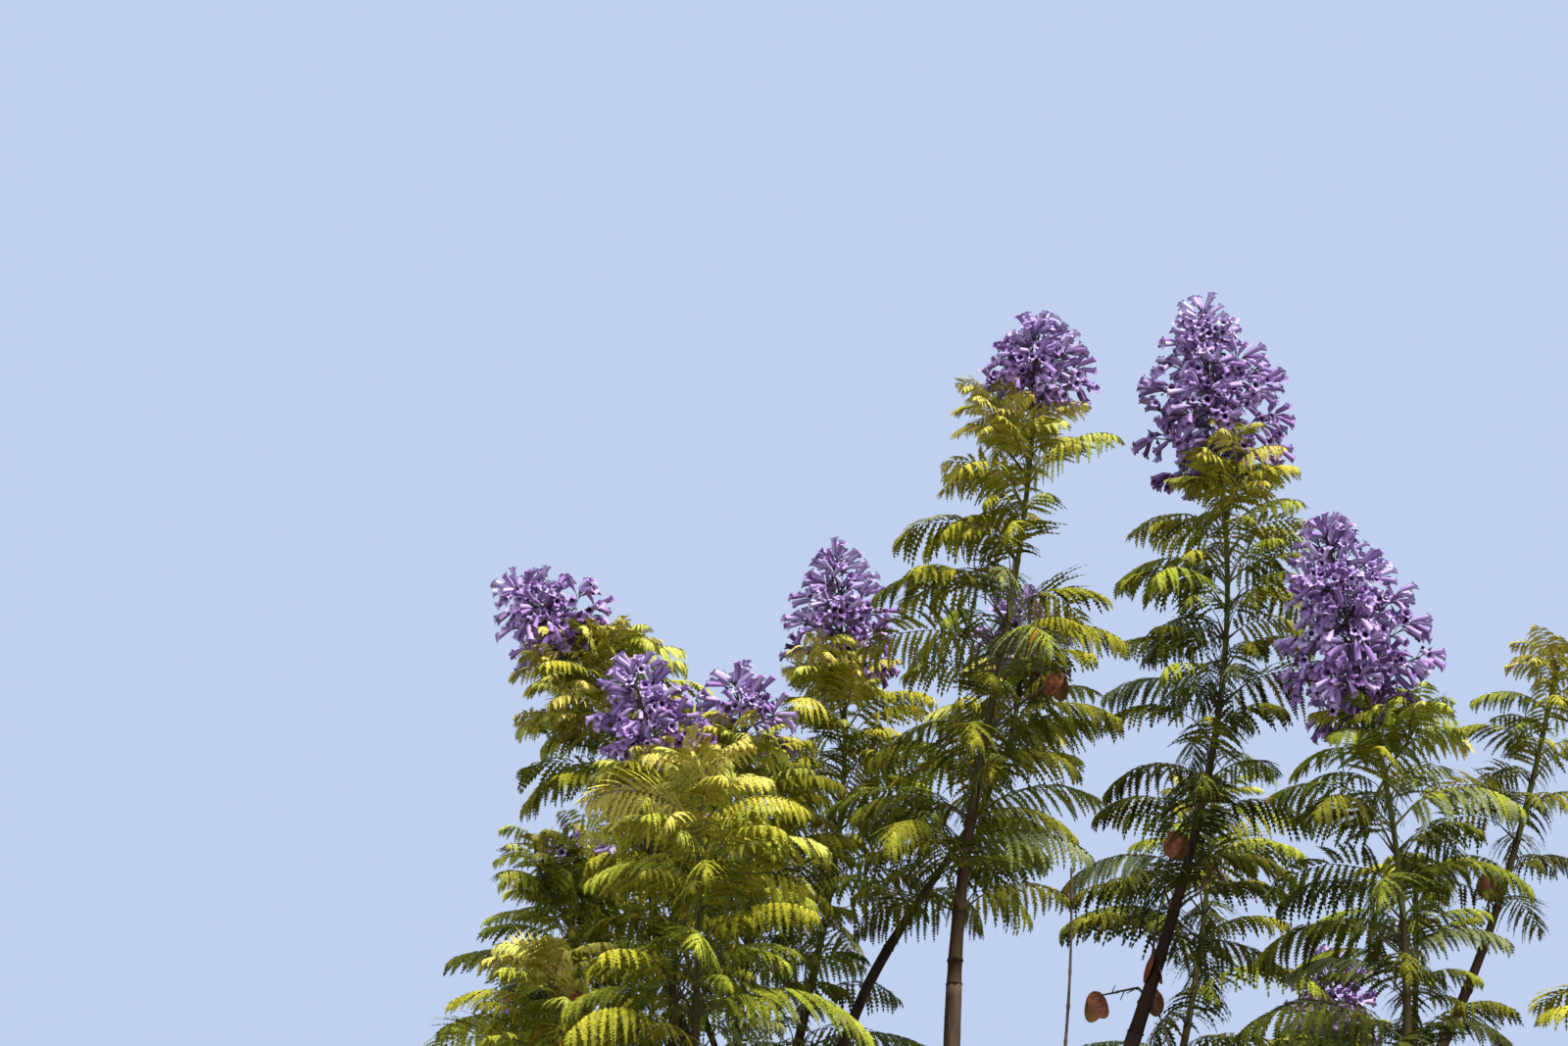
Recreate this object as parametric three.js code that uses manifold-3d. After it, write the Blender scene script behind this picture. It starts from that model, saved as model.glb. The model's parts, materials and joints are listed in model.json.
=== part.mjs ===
// A jacaranda tree in blossom, about 5.1 m tall: a trunk with root flare, tapering boughs and, on each
// bough, one upright leafy shoot that mostly ends in a panicle of flowers.
// Millimetres, +Z up. The origin is the centre of the flat cut under the trunk, at ground level.
// The side that the photograph shows faces -Y, with +X to its right.

import * as THREE from "three";
import Module from "manifold-3d";

const wasm = await Module();
wasm.setup();

// Driving dimensions of the trunk
const TRUNK = {
  height: 1750,
  lean: [-34, 26],
  baseRadius: 86,
  topRadius: 62,
  flareRadius: 46,
  flareHeight: 170,
  buttresses: 5,
  buttressShare: 0.3,
  sides: 15,
};
const TRUNK_LEVELS = [0, 0.03, 0.08, 0.16, 0.3, 0.48, 0.66, 0.82, 0.93, 1];

// Boughs and stems
const JOINT_GAP = 0.3;
const STEM_TIP_RADIUS = 5.5;
const STEM_TAPER = 0.009;
const BOUGH_TAPER = 0.002;
const BEND = 0.36;
const FOOT_LEAN = 1.5;
const TIP_LEAN = 0.5;
const PARTING_ANGLE = THREE.MathUtils.degToRad(40);
const BOUGH = { sides: 6, step: 330 };
const STEM = { sides: 3, step: 260 };

// Leaves stand in crossed pairs. Each is one arching blade of which the two halves droop from the midrib.
const LEAF_LENGTH = { old: 390, young: 145 };
const LEAF_RISE = { old: 0.72, young: 1.2 };
const LEAF_END = { old: -0.82, young: -0.3 };
const LEAF_BREADTH = { old: 1, young: 0.65 };
const LEAF_HALF_WIDTH = 0.26;
const LEAF_WIDEST = 0.54;
const LEAF_THICKNESS = 0.014;
const LEAF_DROOP = THREE.MathUtils.degToRad(48);
const YOUNG_NODES = 4.5;
const FIRST_NODE = 10;
const NODE_GAP = { first: 42, growth: 1.09, longest: 96 };
const LEAFY_SHARE = 0.9;
const VARIATION = { length: 0.13, rise: 0.14, end: 0.18, pair: 0.5, leaf: 0.15 };

// What would leave its shoot's own space is tried at these shares of its size.
const FITS = [1, 0.86, 0.72, 0.58, 0.46, 0.36];
const SPACE_GAP = 14;
const WOOD_GAP = 22;
const SEEDS = { leaves: 106, flowers: 5000, phase: 7, step: 37 };

// A panicle is one knobby head here: rings of points in which clusters of flowers stand out by turns.
const PANICLE = { sides: 8, ringGap: 68, hollow: 0.6, overhang: 26, rise: 12 };

// Seed pods, round and flat, on the stalks of last year's flowers
const POD = { radius: 29, thickness: 15, sides: 8, hang: 0.8 };
const STALK = { radius: 4.8, tipRadius: 3.4, sides: 3, step: 260 };

// One row for each shoot that the photograph shows. The foot is where it stands on its bough and the tip
// is where its leaves end. The bough leaves the one named in from, at that share of its length. sway and
// tilt are how far the shoot leans at its foot and its tip, for each millimetre of height. A panicle has a
// length and a radius.
const SHOWN_SHOOTS = [
  {
    name: "right_tall", from: "trunk", at: 1, foot: [90, -100, 3470], tip: [300, -100, 4640],
    sway: [0.35, 0], tilt: [-0.08, 0], panicle: [440, 165],
  },
  {
    name: "middle_tall", from: "trunk", at: 0.95, foot: [-285, -250, 3540], tip: [-110, -250, 4700],
    sway: [0.05, 0], tilt: [0.08, 0], panicle: [280, 140],
  },
  {
    name: "right_front", from: "trunk", at: 0.88, foot: [590, -420, 3130], tip: [560, -420, 4030],
    sway: [0.05, 0], tilt: [-0.2, 0], panicle: [460, 165],
  },
  {
    name: "left_middle", from: "trunk", at: 0.91, foot: [-735, -80, 3330], tip: [-705, -80, 4050],
    tilt: [-0.15, 0], panicle: [210, 120],
  },
  {
    name: "left_back", from: "trunk", at: 0.84, foot: [-630, 500, 3420], tip: [-495, 500, 4370],
    tilt: [-0.05, 0], panicle: [340, 125],
  },
  {
    name: "right_leggy", from: "trunk", at: 0.86, foot: [745, 150, 3480], tip: [1035, 150, 4320],
    tilt: [0.25, 0], leafScale: 0.75, leafyShare: 0.7,
  },
  {
    name: "left_tip", from: "left_middle", at: 0.62, foot: [-850, 190, 3560], tip: [-1065, 180, 4350],
    tilt: [-0.95, 0], panicle: [250, 125],
  },
  {
    name: "left_front", from: "left_middle", at: 0.7, foot: [-845, -330, 3300], tip: [-880, -335, 3950],
    tilt: [-0.25, 0], panicle: [270, 118],
  },
  {
    name: "left_low", from: "left_middle", at: 0.5, foot: [-990, -60, 3200], tip: [-1070, -90, 3760],
    panicle: [150, 85],
  },
  { name: "front_leafy", from: "middle_tall", at: 0.24, foot: [-805, -690, 3080], tip: [-790, -700, 3850] },
  { name: "left_skirt", from: "front_leafy", at: 0.5, foot: [-1010, -450, 2960], tip: [-1090, -470, 3520] },
  {
    name: "middle_leaning", from: "left_back", at: 0.86, foot: [-410, 215, 3710], tip: [-120, 200, 4300],
    sway: [0.6, -0.05], tilt: [0.05, 0], panicle: [210, 100],
  },
  { name: "right_inner", from: "right_front", at: 0.62, foot: [650, 10, 3180], tip: [690, 0, 3800] },
  {
    name: "right_low", from: "right_leggy", at: 0.46, foot: [545, 620, 3010], tip: [580, 650, 3590],
    panicle: [230, 105],
  },
];

// The shoots that fill the crown below, beside and behind those. Each leans out from the crown's middle.
const OUTWARD_LEAN = 0.42;
const FILLING_SHOOTS = [
  { name: "back_tall", from: "right_tall", at: 0.2, tip: [330, 600, 4120], length: 840 },
  {
    name: "back_left", from: "left_back", at: 0.66, tip: [-900, 790, 4080], length: 820,
    panicle: [240, 112],
  },
  {
    name: "back_left_tip", from: "left_back", at: 0.46, tip: [-1150, 500, 3560], length: 610,
    panicle: [200, 100],
  },
  { name: "skirt_left", from: "left_middle", at: 0.24, tip: [-1170, 220, 3120], length: 590 },
  {
    name: "skirt_back_left", from: "left_back", at: 0.36, tip: [-440, 980, 3320], length: 610,
    panicle: [240, 108],
  },
  {
    name: "skirt_back", from: "back_tall", at: 0.16, tip: [140, 1080, 3330], length: 580,
    panicle: [230, 100],
  },
  {
    name: "skirt_back_right", from: "right_leggy", at: 0.3, tip: [640, 1010, 3170], length: 570,
    panicle: [210, 96],
  },
  {
    name: "back_right", from: "right_leggy", at: 0.4, tip: [1050, 650, 3330], length: 600,
    panicle: [230, 102],
  },
  {
    name: "right_tip", from: "right_leggy", at: 0.5, tip: [1330, 150, 3780], length: 770,
    panicle: [280, 118],
  },
  { name: "right_skirt", from: "right_front", at: 0.5, tip: [1090, -380, 3540], length: 610 },
  { name: "skirt_right", from: "right_leggy", at: 0.2, tip: [1280, -100, 3000], length: 560 },
  { name: "skirt_front_right", from: "right_front", at: 0.28, tip: [840, -880, 3020], length: 580 },
  {
    name: "skirt_front", from: "right_front", at: 0.18, tip: [170, -830, 2970], length: 560,
    panicle: [210, 98],
  },
  { name: "skirt_front_left", from: "front_leafy", at: 0.12, tip: [-380, -900, 3010], length: 590 },
];

// Bare stalks of last year's flowers. Each leaves the stem of a shoot at a distance below its tip, and
// ends at a place. The pods hang at shares of its length.
const STALKS = [
  { on: "right_tall", below: 1085, end: [176, -170, 3870], pods: [0.16, 1] },
  { on: "right_tall", below: 1120, end: [6, -190, 3530], pods: [1] },
  { on: "right_tall", below: 860, end: [268, -40, 3830], pods: [1] },
  { on: "middle_tall", below: 700, end: [-66, -205, 4200], pods: [1] },
  { on: "left_skirt", below: 300, end: [-1030, -500, 3470], pods: [1] },
  { on: "right_leggy", below: 610, end: [860, 120, 3850], pods: [1] },
  { on: "back_tall", below: 740, end: [190, 690, 3720], pods: [1] },
  { on: "back_left", below: 700, end: [-980, 900, 3560], pods: [1] },
];

// A dead shoot: a bare rod beside the tall middle one
const DEAD_SHOOT = { from: "middle_tall", at: 0.5, top: [-47, -300, 3770], heading: [0.3, -0.75, 0.6] };
const ROD = { radius: 7, tipRadius: 3.5, sides: 5, step: 260 };

const bark = new THREE.MeshStandardMaterial({ color: 0x6b5a48, roughness: 0.92, metalness: 0 });
const deadWood = new THREE.MeshStandardMaterial({ color: 0x4a3b30, roughness: 0.9, metalness: 0 });
const foliage = new THREE.MeshStandardMaterial({ color: 0x6f7d24, roughness: 0.65, metalness: 0 });

const TURN = 2 * Math.PI;
const up = new THREE.Vector3(0, 0, 1);
const vector = (place) => new THREE.Vector3(...place);
const byAge = (range, youth) => THREE.MathUtils.lerp(range.old, range.young, youth);

// A small generator of even random numbers from 0 to 1, which any language can repeat
function randomFrom(seed) {
  let state = seed >>> 0;
  return () => {
    state = (Math.imul(state, 1664525) + 1013904223) >>> 0;
    return state / 2 ** 32;
  };
}

// A closed solid through rings of points. A ring of one point is a tip. Wider end rings get flat caps.
function loft(rings) {
  const starts = rings.map((_, i) => rings.slice(0, i).flat().length);
  const faces = [];
  for (let i = 0; i + 1 < rings.length; i++) {
    const [low, high] = [rings[i].length, rings[i + 1].length];
    const around = Math.max(low, high);
    for (let k = 0; k < around; k++) {
      const next = (k + 1) % around;
      const a = starts[i] + (k % low);
      const b = starts[i] + (next % low);
      const c = starts[i + 1] + (next % high);
      const d = starts[i + 1] + (k % high);
      if (low > 1) faces.push(a, b, c);
      if (high > 1) faces.push(a, c, d);
    }
  }
  const last = starts.at(-1);
  for (let k = 1; k + 1 < rings[0].length; k++) faces.push(0, k + 1, k);
  for (let k = 1; k + 1 < rings.at(-1).length; k++) faces.push(last, last + k, last + k + 1);

  const geometry = new THREE.BufferGeometry().setFromPoints(rings.flat()).setIndex(faces);
  const vertProperties = new Float32Array(geometry.getAttribute("position").array);
  const triVerts = new Uint32Array(geometry.index.array);
  return new wasm.Manifold(new wasm.Mesh({ numProp: 3, vertProperties, triVerts }));
}

// A point beside an axis, at a distance from it in the plane square to it
function beside(centre, direction, distance, turn) {
  const side = new THREE.Vector3(1, 0, 0).addScaledVector(direction, -direction.x).normalize();
  const front = direction.clone().cross(side);
  return centre
    .clone()
    .addScaledVector(side, distance * Math.cos(turn))
    .addScaledVector(front, distance * Math.sin(turn));
}

function ringRound(centre, direction, radius, sides) {
  return Array.from({ length: sides }, (_, k) => beside(centre, direction, radius, (k * TURN) / sides));
}

// A tapering limb along a curve
function limb(curve, startRadius, endRadius, { sides, step }) {
  const steps = Math.max(2, Math.round(curve.getLength() / step));
  const rings = [];
  for (let i = 0; i <= steps; i++) {
    const share = i / steps;
    const radius = THREE.MathUtils.lerp(startRadius, endRadius, share);
    rings.push(ringRound(curve.getPoint(share), curve.getTangent(share), radius, sides));
  }
  return loft(rings);
}

function bentLine(start, startDirection, end, endDirection) {
  const reach = BEND * start.distanceTo(end);
  return new THREE.CubicBezierCurve3(
    start,
    start.clone().addScaledVector(startDirection, reach),
    end.clone().addScaledVector(endDirection, -reach),
    end,
  );
}

const trunkTop = vector([...TRUNK.lean, TRUNK.height]);
const trunkAxis = bentLine(vector([0, 0, 0]), up, trunkTop, up);

// Level rings, so that the cut at the ground is flat. Buttresses fade out with the flare.
function trunkSolid(extra = 0) {
  const rings = TRUNK_LEVELS.map((share) => {
    const centre = trunkAxis.getPoint(share);
    const flare = Math.exp(-centre.z / TRUNK.flareHeight);
    const shaft = THREE.MathUtils.lerp(TRUNK.baseRadius, TRUNK.topRadius, share);
    const radius = shaft + flare * TRUNK.flareRadius;
    return Array.from({ length: TRUNK.sides }, (_, k) => {
      const turn = (k * TURN) / TRUNK.sides;
      const wave = 1 + TRUNK.buttressShare * flare * Math.cos(TRUNK.buttresses * turn);
      return beside(centre, up, radius * wave + extra, turn);
    });
  });
  return loft(rings);
}

// Each shoot's own axis, and the axis of the bough that carries it
function layOut(row, index, shoots) {
  const tip = vector(row.tip);
  const outward = tip.clone().setZ(0).normalize();
  const foot = row.foot
    ? vector(row.foot)
    : tip.clone().addScaledVector(outward, -OUTWARD_LEAN * row.length).addScaledVector(up, -row.length);
  const run = tip.clone().sub(foot);
  const lean = (factor) => [(factor * run.x) / run.z, (factor * run.y) / run.z];
  const footDirection = vector([...(row.sway ?? lean(FOOT_LEAN)), 1]).normalize();
  const tipDirection = vector([...(row.tilt ?? lean(TIP_LEAN)), 1]).normalize();

  const parent = shoots.find((shoot) => shoot.name === row.from);
  const parentAxis = parent ? parent.boughAxis : trunkAxis;
  const start = parentAxis.getPoint(row.at);
  const startDirection = parentAxis.getTangent(row.at);
  if (row.at === 1) {
    start.addScaledVector(startDirection, JOINT_GAP);
  } else {
    const towards = foot.clone().sub(start).setZ(0).normalize();
    startDirection.multiplyScalar(Math.cos(PARTING_ANGLE)).addScaledVector(towards, Math.sin(PARTING_ANGLE));
  }
  return {
    ...row,
    parent,
    length: run.length(),
    seed: SEEDS.step * index,
    phase: randomFrom(SEEDS.phase + index)() - 0.5,
    axis: bentLine(foot.clone().addScaledVector(footDirection, JOINT_GAP), footDirection, tip, tipDirection),
    tipDirection,
    footRadius: STEM_TIP_RADIUS + STEM_TAPER * run.length(),
    boughAxis: bentLine(start, startDirection.normalize(), foot, footDirection),
    apex: tip.clone().addScaledVector(tipDirection, row.panicle ? row.panicle[0] : 0),
  };
}

const shoots = [];
for (const row of [...SHOWN_SHOOTS, ...FILLING_SHOOTS]) shoots.push(layOut(row, shoots.length, shoots));

// A bough is as thick at its start as its own shoot and all that leaves it need together.
for (const shoot of shoots.toReversed()) {
  const carried = shoots.filter((other) => other.parent === shoot);
  const area = carried.reduce((sum, other) => sum + other.startRadius ** 2, shoot.footRadius ** 2);
  shoot.startRadius = Math.sqrt(area) + BOUGH_TAPER * shoot.boughAxis.getLength();
}

const LINE_STEPS = 6;
for (const shoot of shoots) {
  shoot.line = [...shoot.axis.getPoints(LINE_STEPS), ...(shoot.panicle ? [shoot.apex] : [])];
  shoot.boughLine = shoot.boughAxis.getPoints(LINE_STEPS);
}

function distanceTo(line, point) {
  const piece = new THREE.Line3();
  const nearest = new THREE.Vector3();
  let least = Infinity;
  for (let i = 0; i + 1 < line.length; i++) {
    piece.set(line[i], line[i + 1]).closestPointToPoint(point, true, nearest);
    least = Math.min(least, nearest.distanceTo(point));
  }
  return least;
}

// A shoot's own space is what lies nearer to its axis than to any other, clear of all boughs.
function keepsToSpace(shoot, points) {
  return points.every((point) => {
    const own = distanceTo(shoot.line, point);
    return shoots.every((other) => {
      const clearOfBough = distanceTo(other.boughLine, point) > other.startRadius + WOOD_GAP;
      return clearOfBough && (other === shoot || distanceTo(other.line, point) > own + SPACE_GAP);
    });
  });
}

// A point on a leaf's midrib, which is an arc of a circle from its rise down to its end slope
function midrib(leaf, share) {
  const slope = THREE.MathUtils.lerp(leaf.rise, leaf.end, share);
  const size = leaf.length / (leaf.rise - leaf.end);
  return leaf.root
    .clone()
    .addScaledVector(leaf.heading, size * (Math.sin(leaf.rise) - Math.sin(slope)))
    .addScaledVector(up, size * (Math.cos(slope) - Math.cos(leaf.rise)));
}

function leafEdge(leaf, share, side) {
  const width = leaf.length * LEAF_HALF_WIDTH * leaf.breadth;
  return midrib(leaf, share)
    .addScaledVector(leaf.heading.clone().cross(up), side * width * Math.cos(LEAF_DROOP))
    .addScaledVector(up, -width * Math.sin(LEAF_DROOP));
}

function leafPoints(leaf) {
  const ribs = [0.3, 0.45, 0.6, 0.75, 0.9, 1].map((share) => midrib(leaf, share));
  const edges = [0.4, 0.56, 0.74].flatMap((share) => [leafEdge(leaf, share, 1), leafEdge(leaf, share, -1)]);
  return [...ribs, ...edges];
}

// Crossed pairs from the tip down. A leaf that would leave the shoot's space grows shorter, or not at all.
function growLeaves(shoot) {
  const random = randomFrom(SEEDS.leaves + shoot.seed);
  const vary = (size) => size * (2 * random() - 1);
  const scale = shoot.leafScale ?? 1;
  const lowest = shoot.length * (shoot.leafyShare ?? LEAFY_SHARE);
  const leaves = [];
  let below = FIRST_NODE;
  let gap = NODE_GAP.first;
  for (let node = 0; below < lowest; node++) {
    const youth = Math.exp(-node / YOUNG_NODES);
    const root = shoot.axis.getPoint(1 - below / shoot.length);
    const pairTurn = shoot.phase + (node * TURN) / 4 + vary(VARIATION.pair);
    for (const side of [0, TURN / 2]) {
      const turn = pairTurn + side + vary(VARIATION.leaf);
      const full = byAge(LEAF_LENGTH, youth) * scale * (1 + vary(VARIATION.length));
      const leaf = {
        root,
        heading: new THREE.Vector3(Math.cos(turn), Math.sin(turn), 0),
        rise: byAge(LEAF_RISE, youth) + vary(VARIATION.rise),
        end: byAge(LEAF_END, youth) + vary(VARIATION.end),
        breadth: byAge(LEAF_BREADTH, youth),
      };
      const fits = FITS.some((share) => {
        leaf.length = full * share;
        return keepsToSpace(shoot, leafPoints(leaf));
      });
      if (fits) leaves.push(leaf);
    }
    below += gap;
    gap = Math.min(gap * NODE_GAP.growth, NODE_GAP.longest);
  }
  return leaves;
}

// Eight faces: the root, the tip, two drooping edges and the two sides of the midrib
function leafSolid(leaf) {
  const ridge = midrib(leaf, LEAF_WIDEST);
  const section = [
    leafEdge(leaf, LEAF_WIDEST, 1),
    ridge.clone().addScaledVector(up, -leaf.length * LEAF_THICKNESS),
    leafEdge(leaf, LEAF_WIDEST, -1),
    ridge,
  ];
  return loft([[leaf.root], section, [midrib(leaf, 1)]]);
}

// How wide a panicle is at a share of its height: widest low down, and rounded at both ends
function panicleReach(share) {
  return Math.sin(Math.PI * share ** 0.6) ** 0.8;
}

// Every other point is a cluster of flowers and stands out, and those between lie back and lower.
function panicleSolid(shoot) {
  const [length, radius] = shoot.panicle;
  const random = randomFrom(SEEDS.flowers + shoot.seed);
  const tip = shoot.axis.getPoint(1);
  const along = (distance) => tip.clone().addScaledVector(shoot.tipDirection, distance);
  const count = Math.round(length / PANICLE.ringGap) + 1;
  const rings = [];
  for (let i = 0; i < count; i++) {
    const share = (i + 0.6) / (count + 0.4);
    const ring = [];
    for (let k = 0; k < PANICLE.sides; k++) {
      const standsOut = (i + k) % 2 === 0;
      const turn = shoot.phase + ((k + 0.4 * random()) * TURN) / PANICLE.sides;
      const reach = radius * panicleReach(share) * (standsOut ? 0.9 + 0.2 * random() : PANICLE.hollow);
      const centre = along(length * share + (standsOut ? PANICLE.rise : -PANICLE.rise));
      const places = FITS.map((fit) => beside(centre, shoot.tipDirection, reach * fit, turn));
      ring.push(places.find((place) => keepsToSpace(shoot, [place])) ?? places.at(-1));
    }
    rings.push(ring);
  }
  return loft([[along(-PANICLE.overhang)], ...rings, [shoot.apex]]);
}

function stalkAxis(row, shoot) {
  const root = shoot.axis.getPoint(1 - row.below / shoot.length);
  const end = vector(row.end);
  return bentLine(root, up, end, end.clone().sub(root).normalize());
}

function podSolid(place, turn) {
  const middle = place.clone().addScaledVector(up, -POD.radius * POD.hang);
  const face = new THREE.Vector3(Math.cos(turn), Math.sin(turn), 0);
  const back = middle.clone().addScaledVector(face, -POD.thickness / 2);
  const front = middle.clone().addScaledVector(face, POD.thickness / 2);
  return loft([[back], ringRound(middle, face, POD.radius, POD.sides), [front]]);
}

// One body: the stem, its leaves, its panicle and the pods on its stalks
function foliageSolid(shoot) {
  const parts = [limb(shoot.axis, shoot.footRadius, STEM_TIP_RADIUS, STEM)];
  parts.push(...growLeaves(shoot).map(leafSolid));
  if (shoot.panicle) parts.push(panicleSolid(shoot));
  const stalks = STALKS.filter((row) => row.on === shoot.name);
  for (const row of stalks) {
    const axis = stalkAxis(row, shoot);
    parts.push(limb(axis, STALK.radius, STALK.tipRadius, STALK));
    parts.push(...row.pods.map((share) => podSolid(axis.getPoint(share), stalks.indexOf(row) + share)));
  }
  return wasm.Manifold.union(parts);
}

function boughSolid(shoot, extra = 0) {
  return limb(shoot.boughAxis, shoot.startRadius + extra, shoot.footRadius + extra, BOUGH);
}

// The largest body of a solid, as a named mesh. A scrap that a cut leaves loose is dropped.
function named(name, solid, material) {
  const largest = solid.decompose().reduce((best, body) => (body.volume() > best.volume() ? body : best));
  const { vertProperties, triVerts } = largest.getMesh();
  const geometry = new THREE.BufferGeometry();
  geometry.setAttribute("position", new THREE.BufferAttribute(vertProperties, 3));
  geometry.setIndex(new THREE.BufferAttribute(triVerts, 1));
  const mesh = new THREE.Mesh(geometry, material);
  mesh.name = name;
  return mesh;
}

const tree = new THREE.Group();
tree.add(named("trunk", trunkSolid(), bark));

// Each bough is cut clear of the trunk or bough that it leaves, and of the earlier boughs at the same fork.
shoots.forEach((shoot, index) => {
  const earlier = shoots.slice(0, index).filter((other) => other.parent === shoot.parent);
  const parentSolid = shoot.parent ? boughSolid(shoot.parent, JOINT_GAP) : trunkSolid(JOINT_GAP);
  const cutters = [parentSolid, ...earlier.map((other) => boughSolid(other, JOINT_GAP))];
  const bough = cutters.reduce((left, cutter) => left.subtract(cutter), boughSolid(shoot));
  tree.add(named(`bough_${shoot.name}`, bough, bark));
});

const rodParent = shoots.find((shoot) => shoot.name === DEAD_SHOOT.from);
const rodRoot = rodParent.boughAxis.getPoint(DEAD_SHOOT.at);
const rodAxis = bentLine(rodRoot, vector(DEAD_SHOOT.heading).normalize(), vector(DEAD_SHOOT.top), up);
const rod = limb(rodAxis, ROD.radius, ROD.tipRadius, ROD).subtract(boughSolid(rodParent, JOINT_GAP));
tree.add(named("dead_shoot", rod, deadWood));

for (const shoot of shoots) tree.add(named(`foliage_${shoot.name}`, foliageSolid(shoot), foliage));

export default tree;
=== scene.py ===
"""The looks of a jacaranda tree in blossom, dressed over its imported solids.

Lengths are millimetres in the solids' own frame: +Z up, with the origin at the centre of the flat cut under
the trunk, and -Y towards the photographed side. Boughs, shoots and leaves follow the rule and the seeds of
the solids' source. From there they are carried on to feathers, leaflets, flowers, stalks and bark.
"""

import json
import math
from types import SimpleNamespace as Sizes

import bpy
import numpy as np
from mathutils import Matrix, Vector, noise

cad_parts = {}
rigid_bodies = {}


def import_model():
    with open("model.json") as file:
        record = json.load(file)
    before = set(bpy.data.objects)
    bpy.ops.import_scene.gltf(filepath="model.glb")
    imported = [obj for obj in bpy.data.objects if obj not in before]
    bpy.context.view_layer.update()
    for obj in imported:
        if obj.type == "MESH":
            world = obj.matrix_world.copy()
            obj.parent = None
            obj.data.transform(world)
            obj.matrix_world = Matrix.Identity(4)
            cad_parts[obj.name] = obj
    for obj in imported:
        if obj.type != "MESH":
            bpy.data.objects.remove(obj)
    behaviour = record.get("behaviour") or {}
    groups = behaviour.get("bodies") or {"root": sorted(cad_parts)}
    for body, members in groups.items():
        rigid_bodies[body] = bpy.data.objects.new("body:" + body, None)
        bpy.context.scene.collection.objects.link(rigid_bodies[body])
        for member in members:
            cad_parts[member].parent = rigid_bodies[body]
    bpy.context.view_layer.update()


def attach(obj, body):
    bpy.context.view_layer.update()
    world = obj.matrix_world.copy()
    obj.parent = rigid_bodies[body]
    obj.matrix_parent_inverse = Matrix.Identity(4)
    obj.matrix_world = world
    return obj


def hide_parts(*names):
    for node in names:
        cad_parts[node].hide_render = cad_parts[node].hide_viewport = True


MILLIMETRE = 0.001
TURN = 2 * math.pi
UP = np.array([0.0, 0.0, 1.0])

# The photographed view in metres and degrees, its size in pixels, and the places in it where only sky shows,
# as left, right, top and bottom. A leaf is left out when it is in one of them at this share of its midrib.
CAMERA = Sizes(place=(-0.628, -9.5, 1.6), pitch=17.5, lens=107, sensor=36)
VIEW = Sizes(width=1600, height=1067)
SKY_GAPS = [(1045, 1160, 962, 1067), (1060, 1128, 470, 590)]
SKY_SHARE = 0.7

# Trunk, boughs and stems, as in the solids' source. The trunk's top narrows to the leading bough.
TRUNK = Sizes(
    height=1750, lean=(-34, 26), base_radius=86, top_radius=62, narrowing=90,
    flare_radius=46, flare_height=170, buttresses=5, buttress_share=0.3,
)
JOINT_GAP = 0.3
STEM_TIP_RADIUS = 5.5
STEM_TAPER = 0.009
BOUGH_TAPER = 0.002
BEND = 0.36
FOOT_LEAN = 1.5
TIP_LEAN = 0.5
PARTING_ANGLE = math.radians(40)
OUTWARD_LEAN = 0.42
LINE_STEPS = 6
MEASURING_STEPS = 200
SMALL_SHARE = 0.0001

# Leaves in crossed pairs, each on an arching midrib, as in the source
LEAF_LENGTH = Sizes(old=390, young=145)
LEAF_RISE = Sizes(old=0.72, young=1.2)
LEAF_END = Sizes(old=-0.82, young=-0.3)
LEAF_BREADTH = Sizes(old=1, young=0.65)
LEAF_HALF_WIDTH = 0.26
LEAF_DROOP = math.radians(48)
YOUNG_NODES = 4.5
FIRST_NODE = 10
NODE_GAP = Sizes(first=42, growth=1.09, longest=96)
LEAFY_SHARE = 0.9
VARIATION = Sizes(length=0.13, rise=0.14, end=0.18, pair=0.5, leaf=0.15)
FITS = (1, 0.86, 0.72, 0.58, 0.46, 0.36)
MIDRIB_SHARES = (0.3, 0.45, 0.6, 0.75, 0.9, 1)
EDGE_SHARES = (0.4, 0.56, 0.74)
SPACE_GAP = 14
WOOD_GAP = 22
SEEDS = Sizes(leaves=106, phase=7, step=37, dressing=2024, rod=5)
GENERATOR = Sizes(factor=1664525, step=1013904223, size=2**32)

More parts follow.
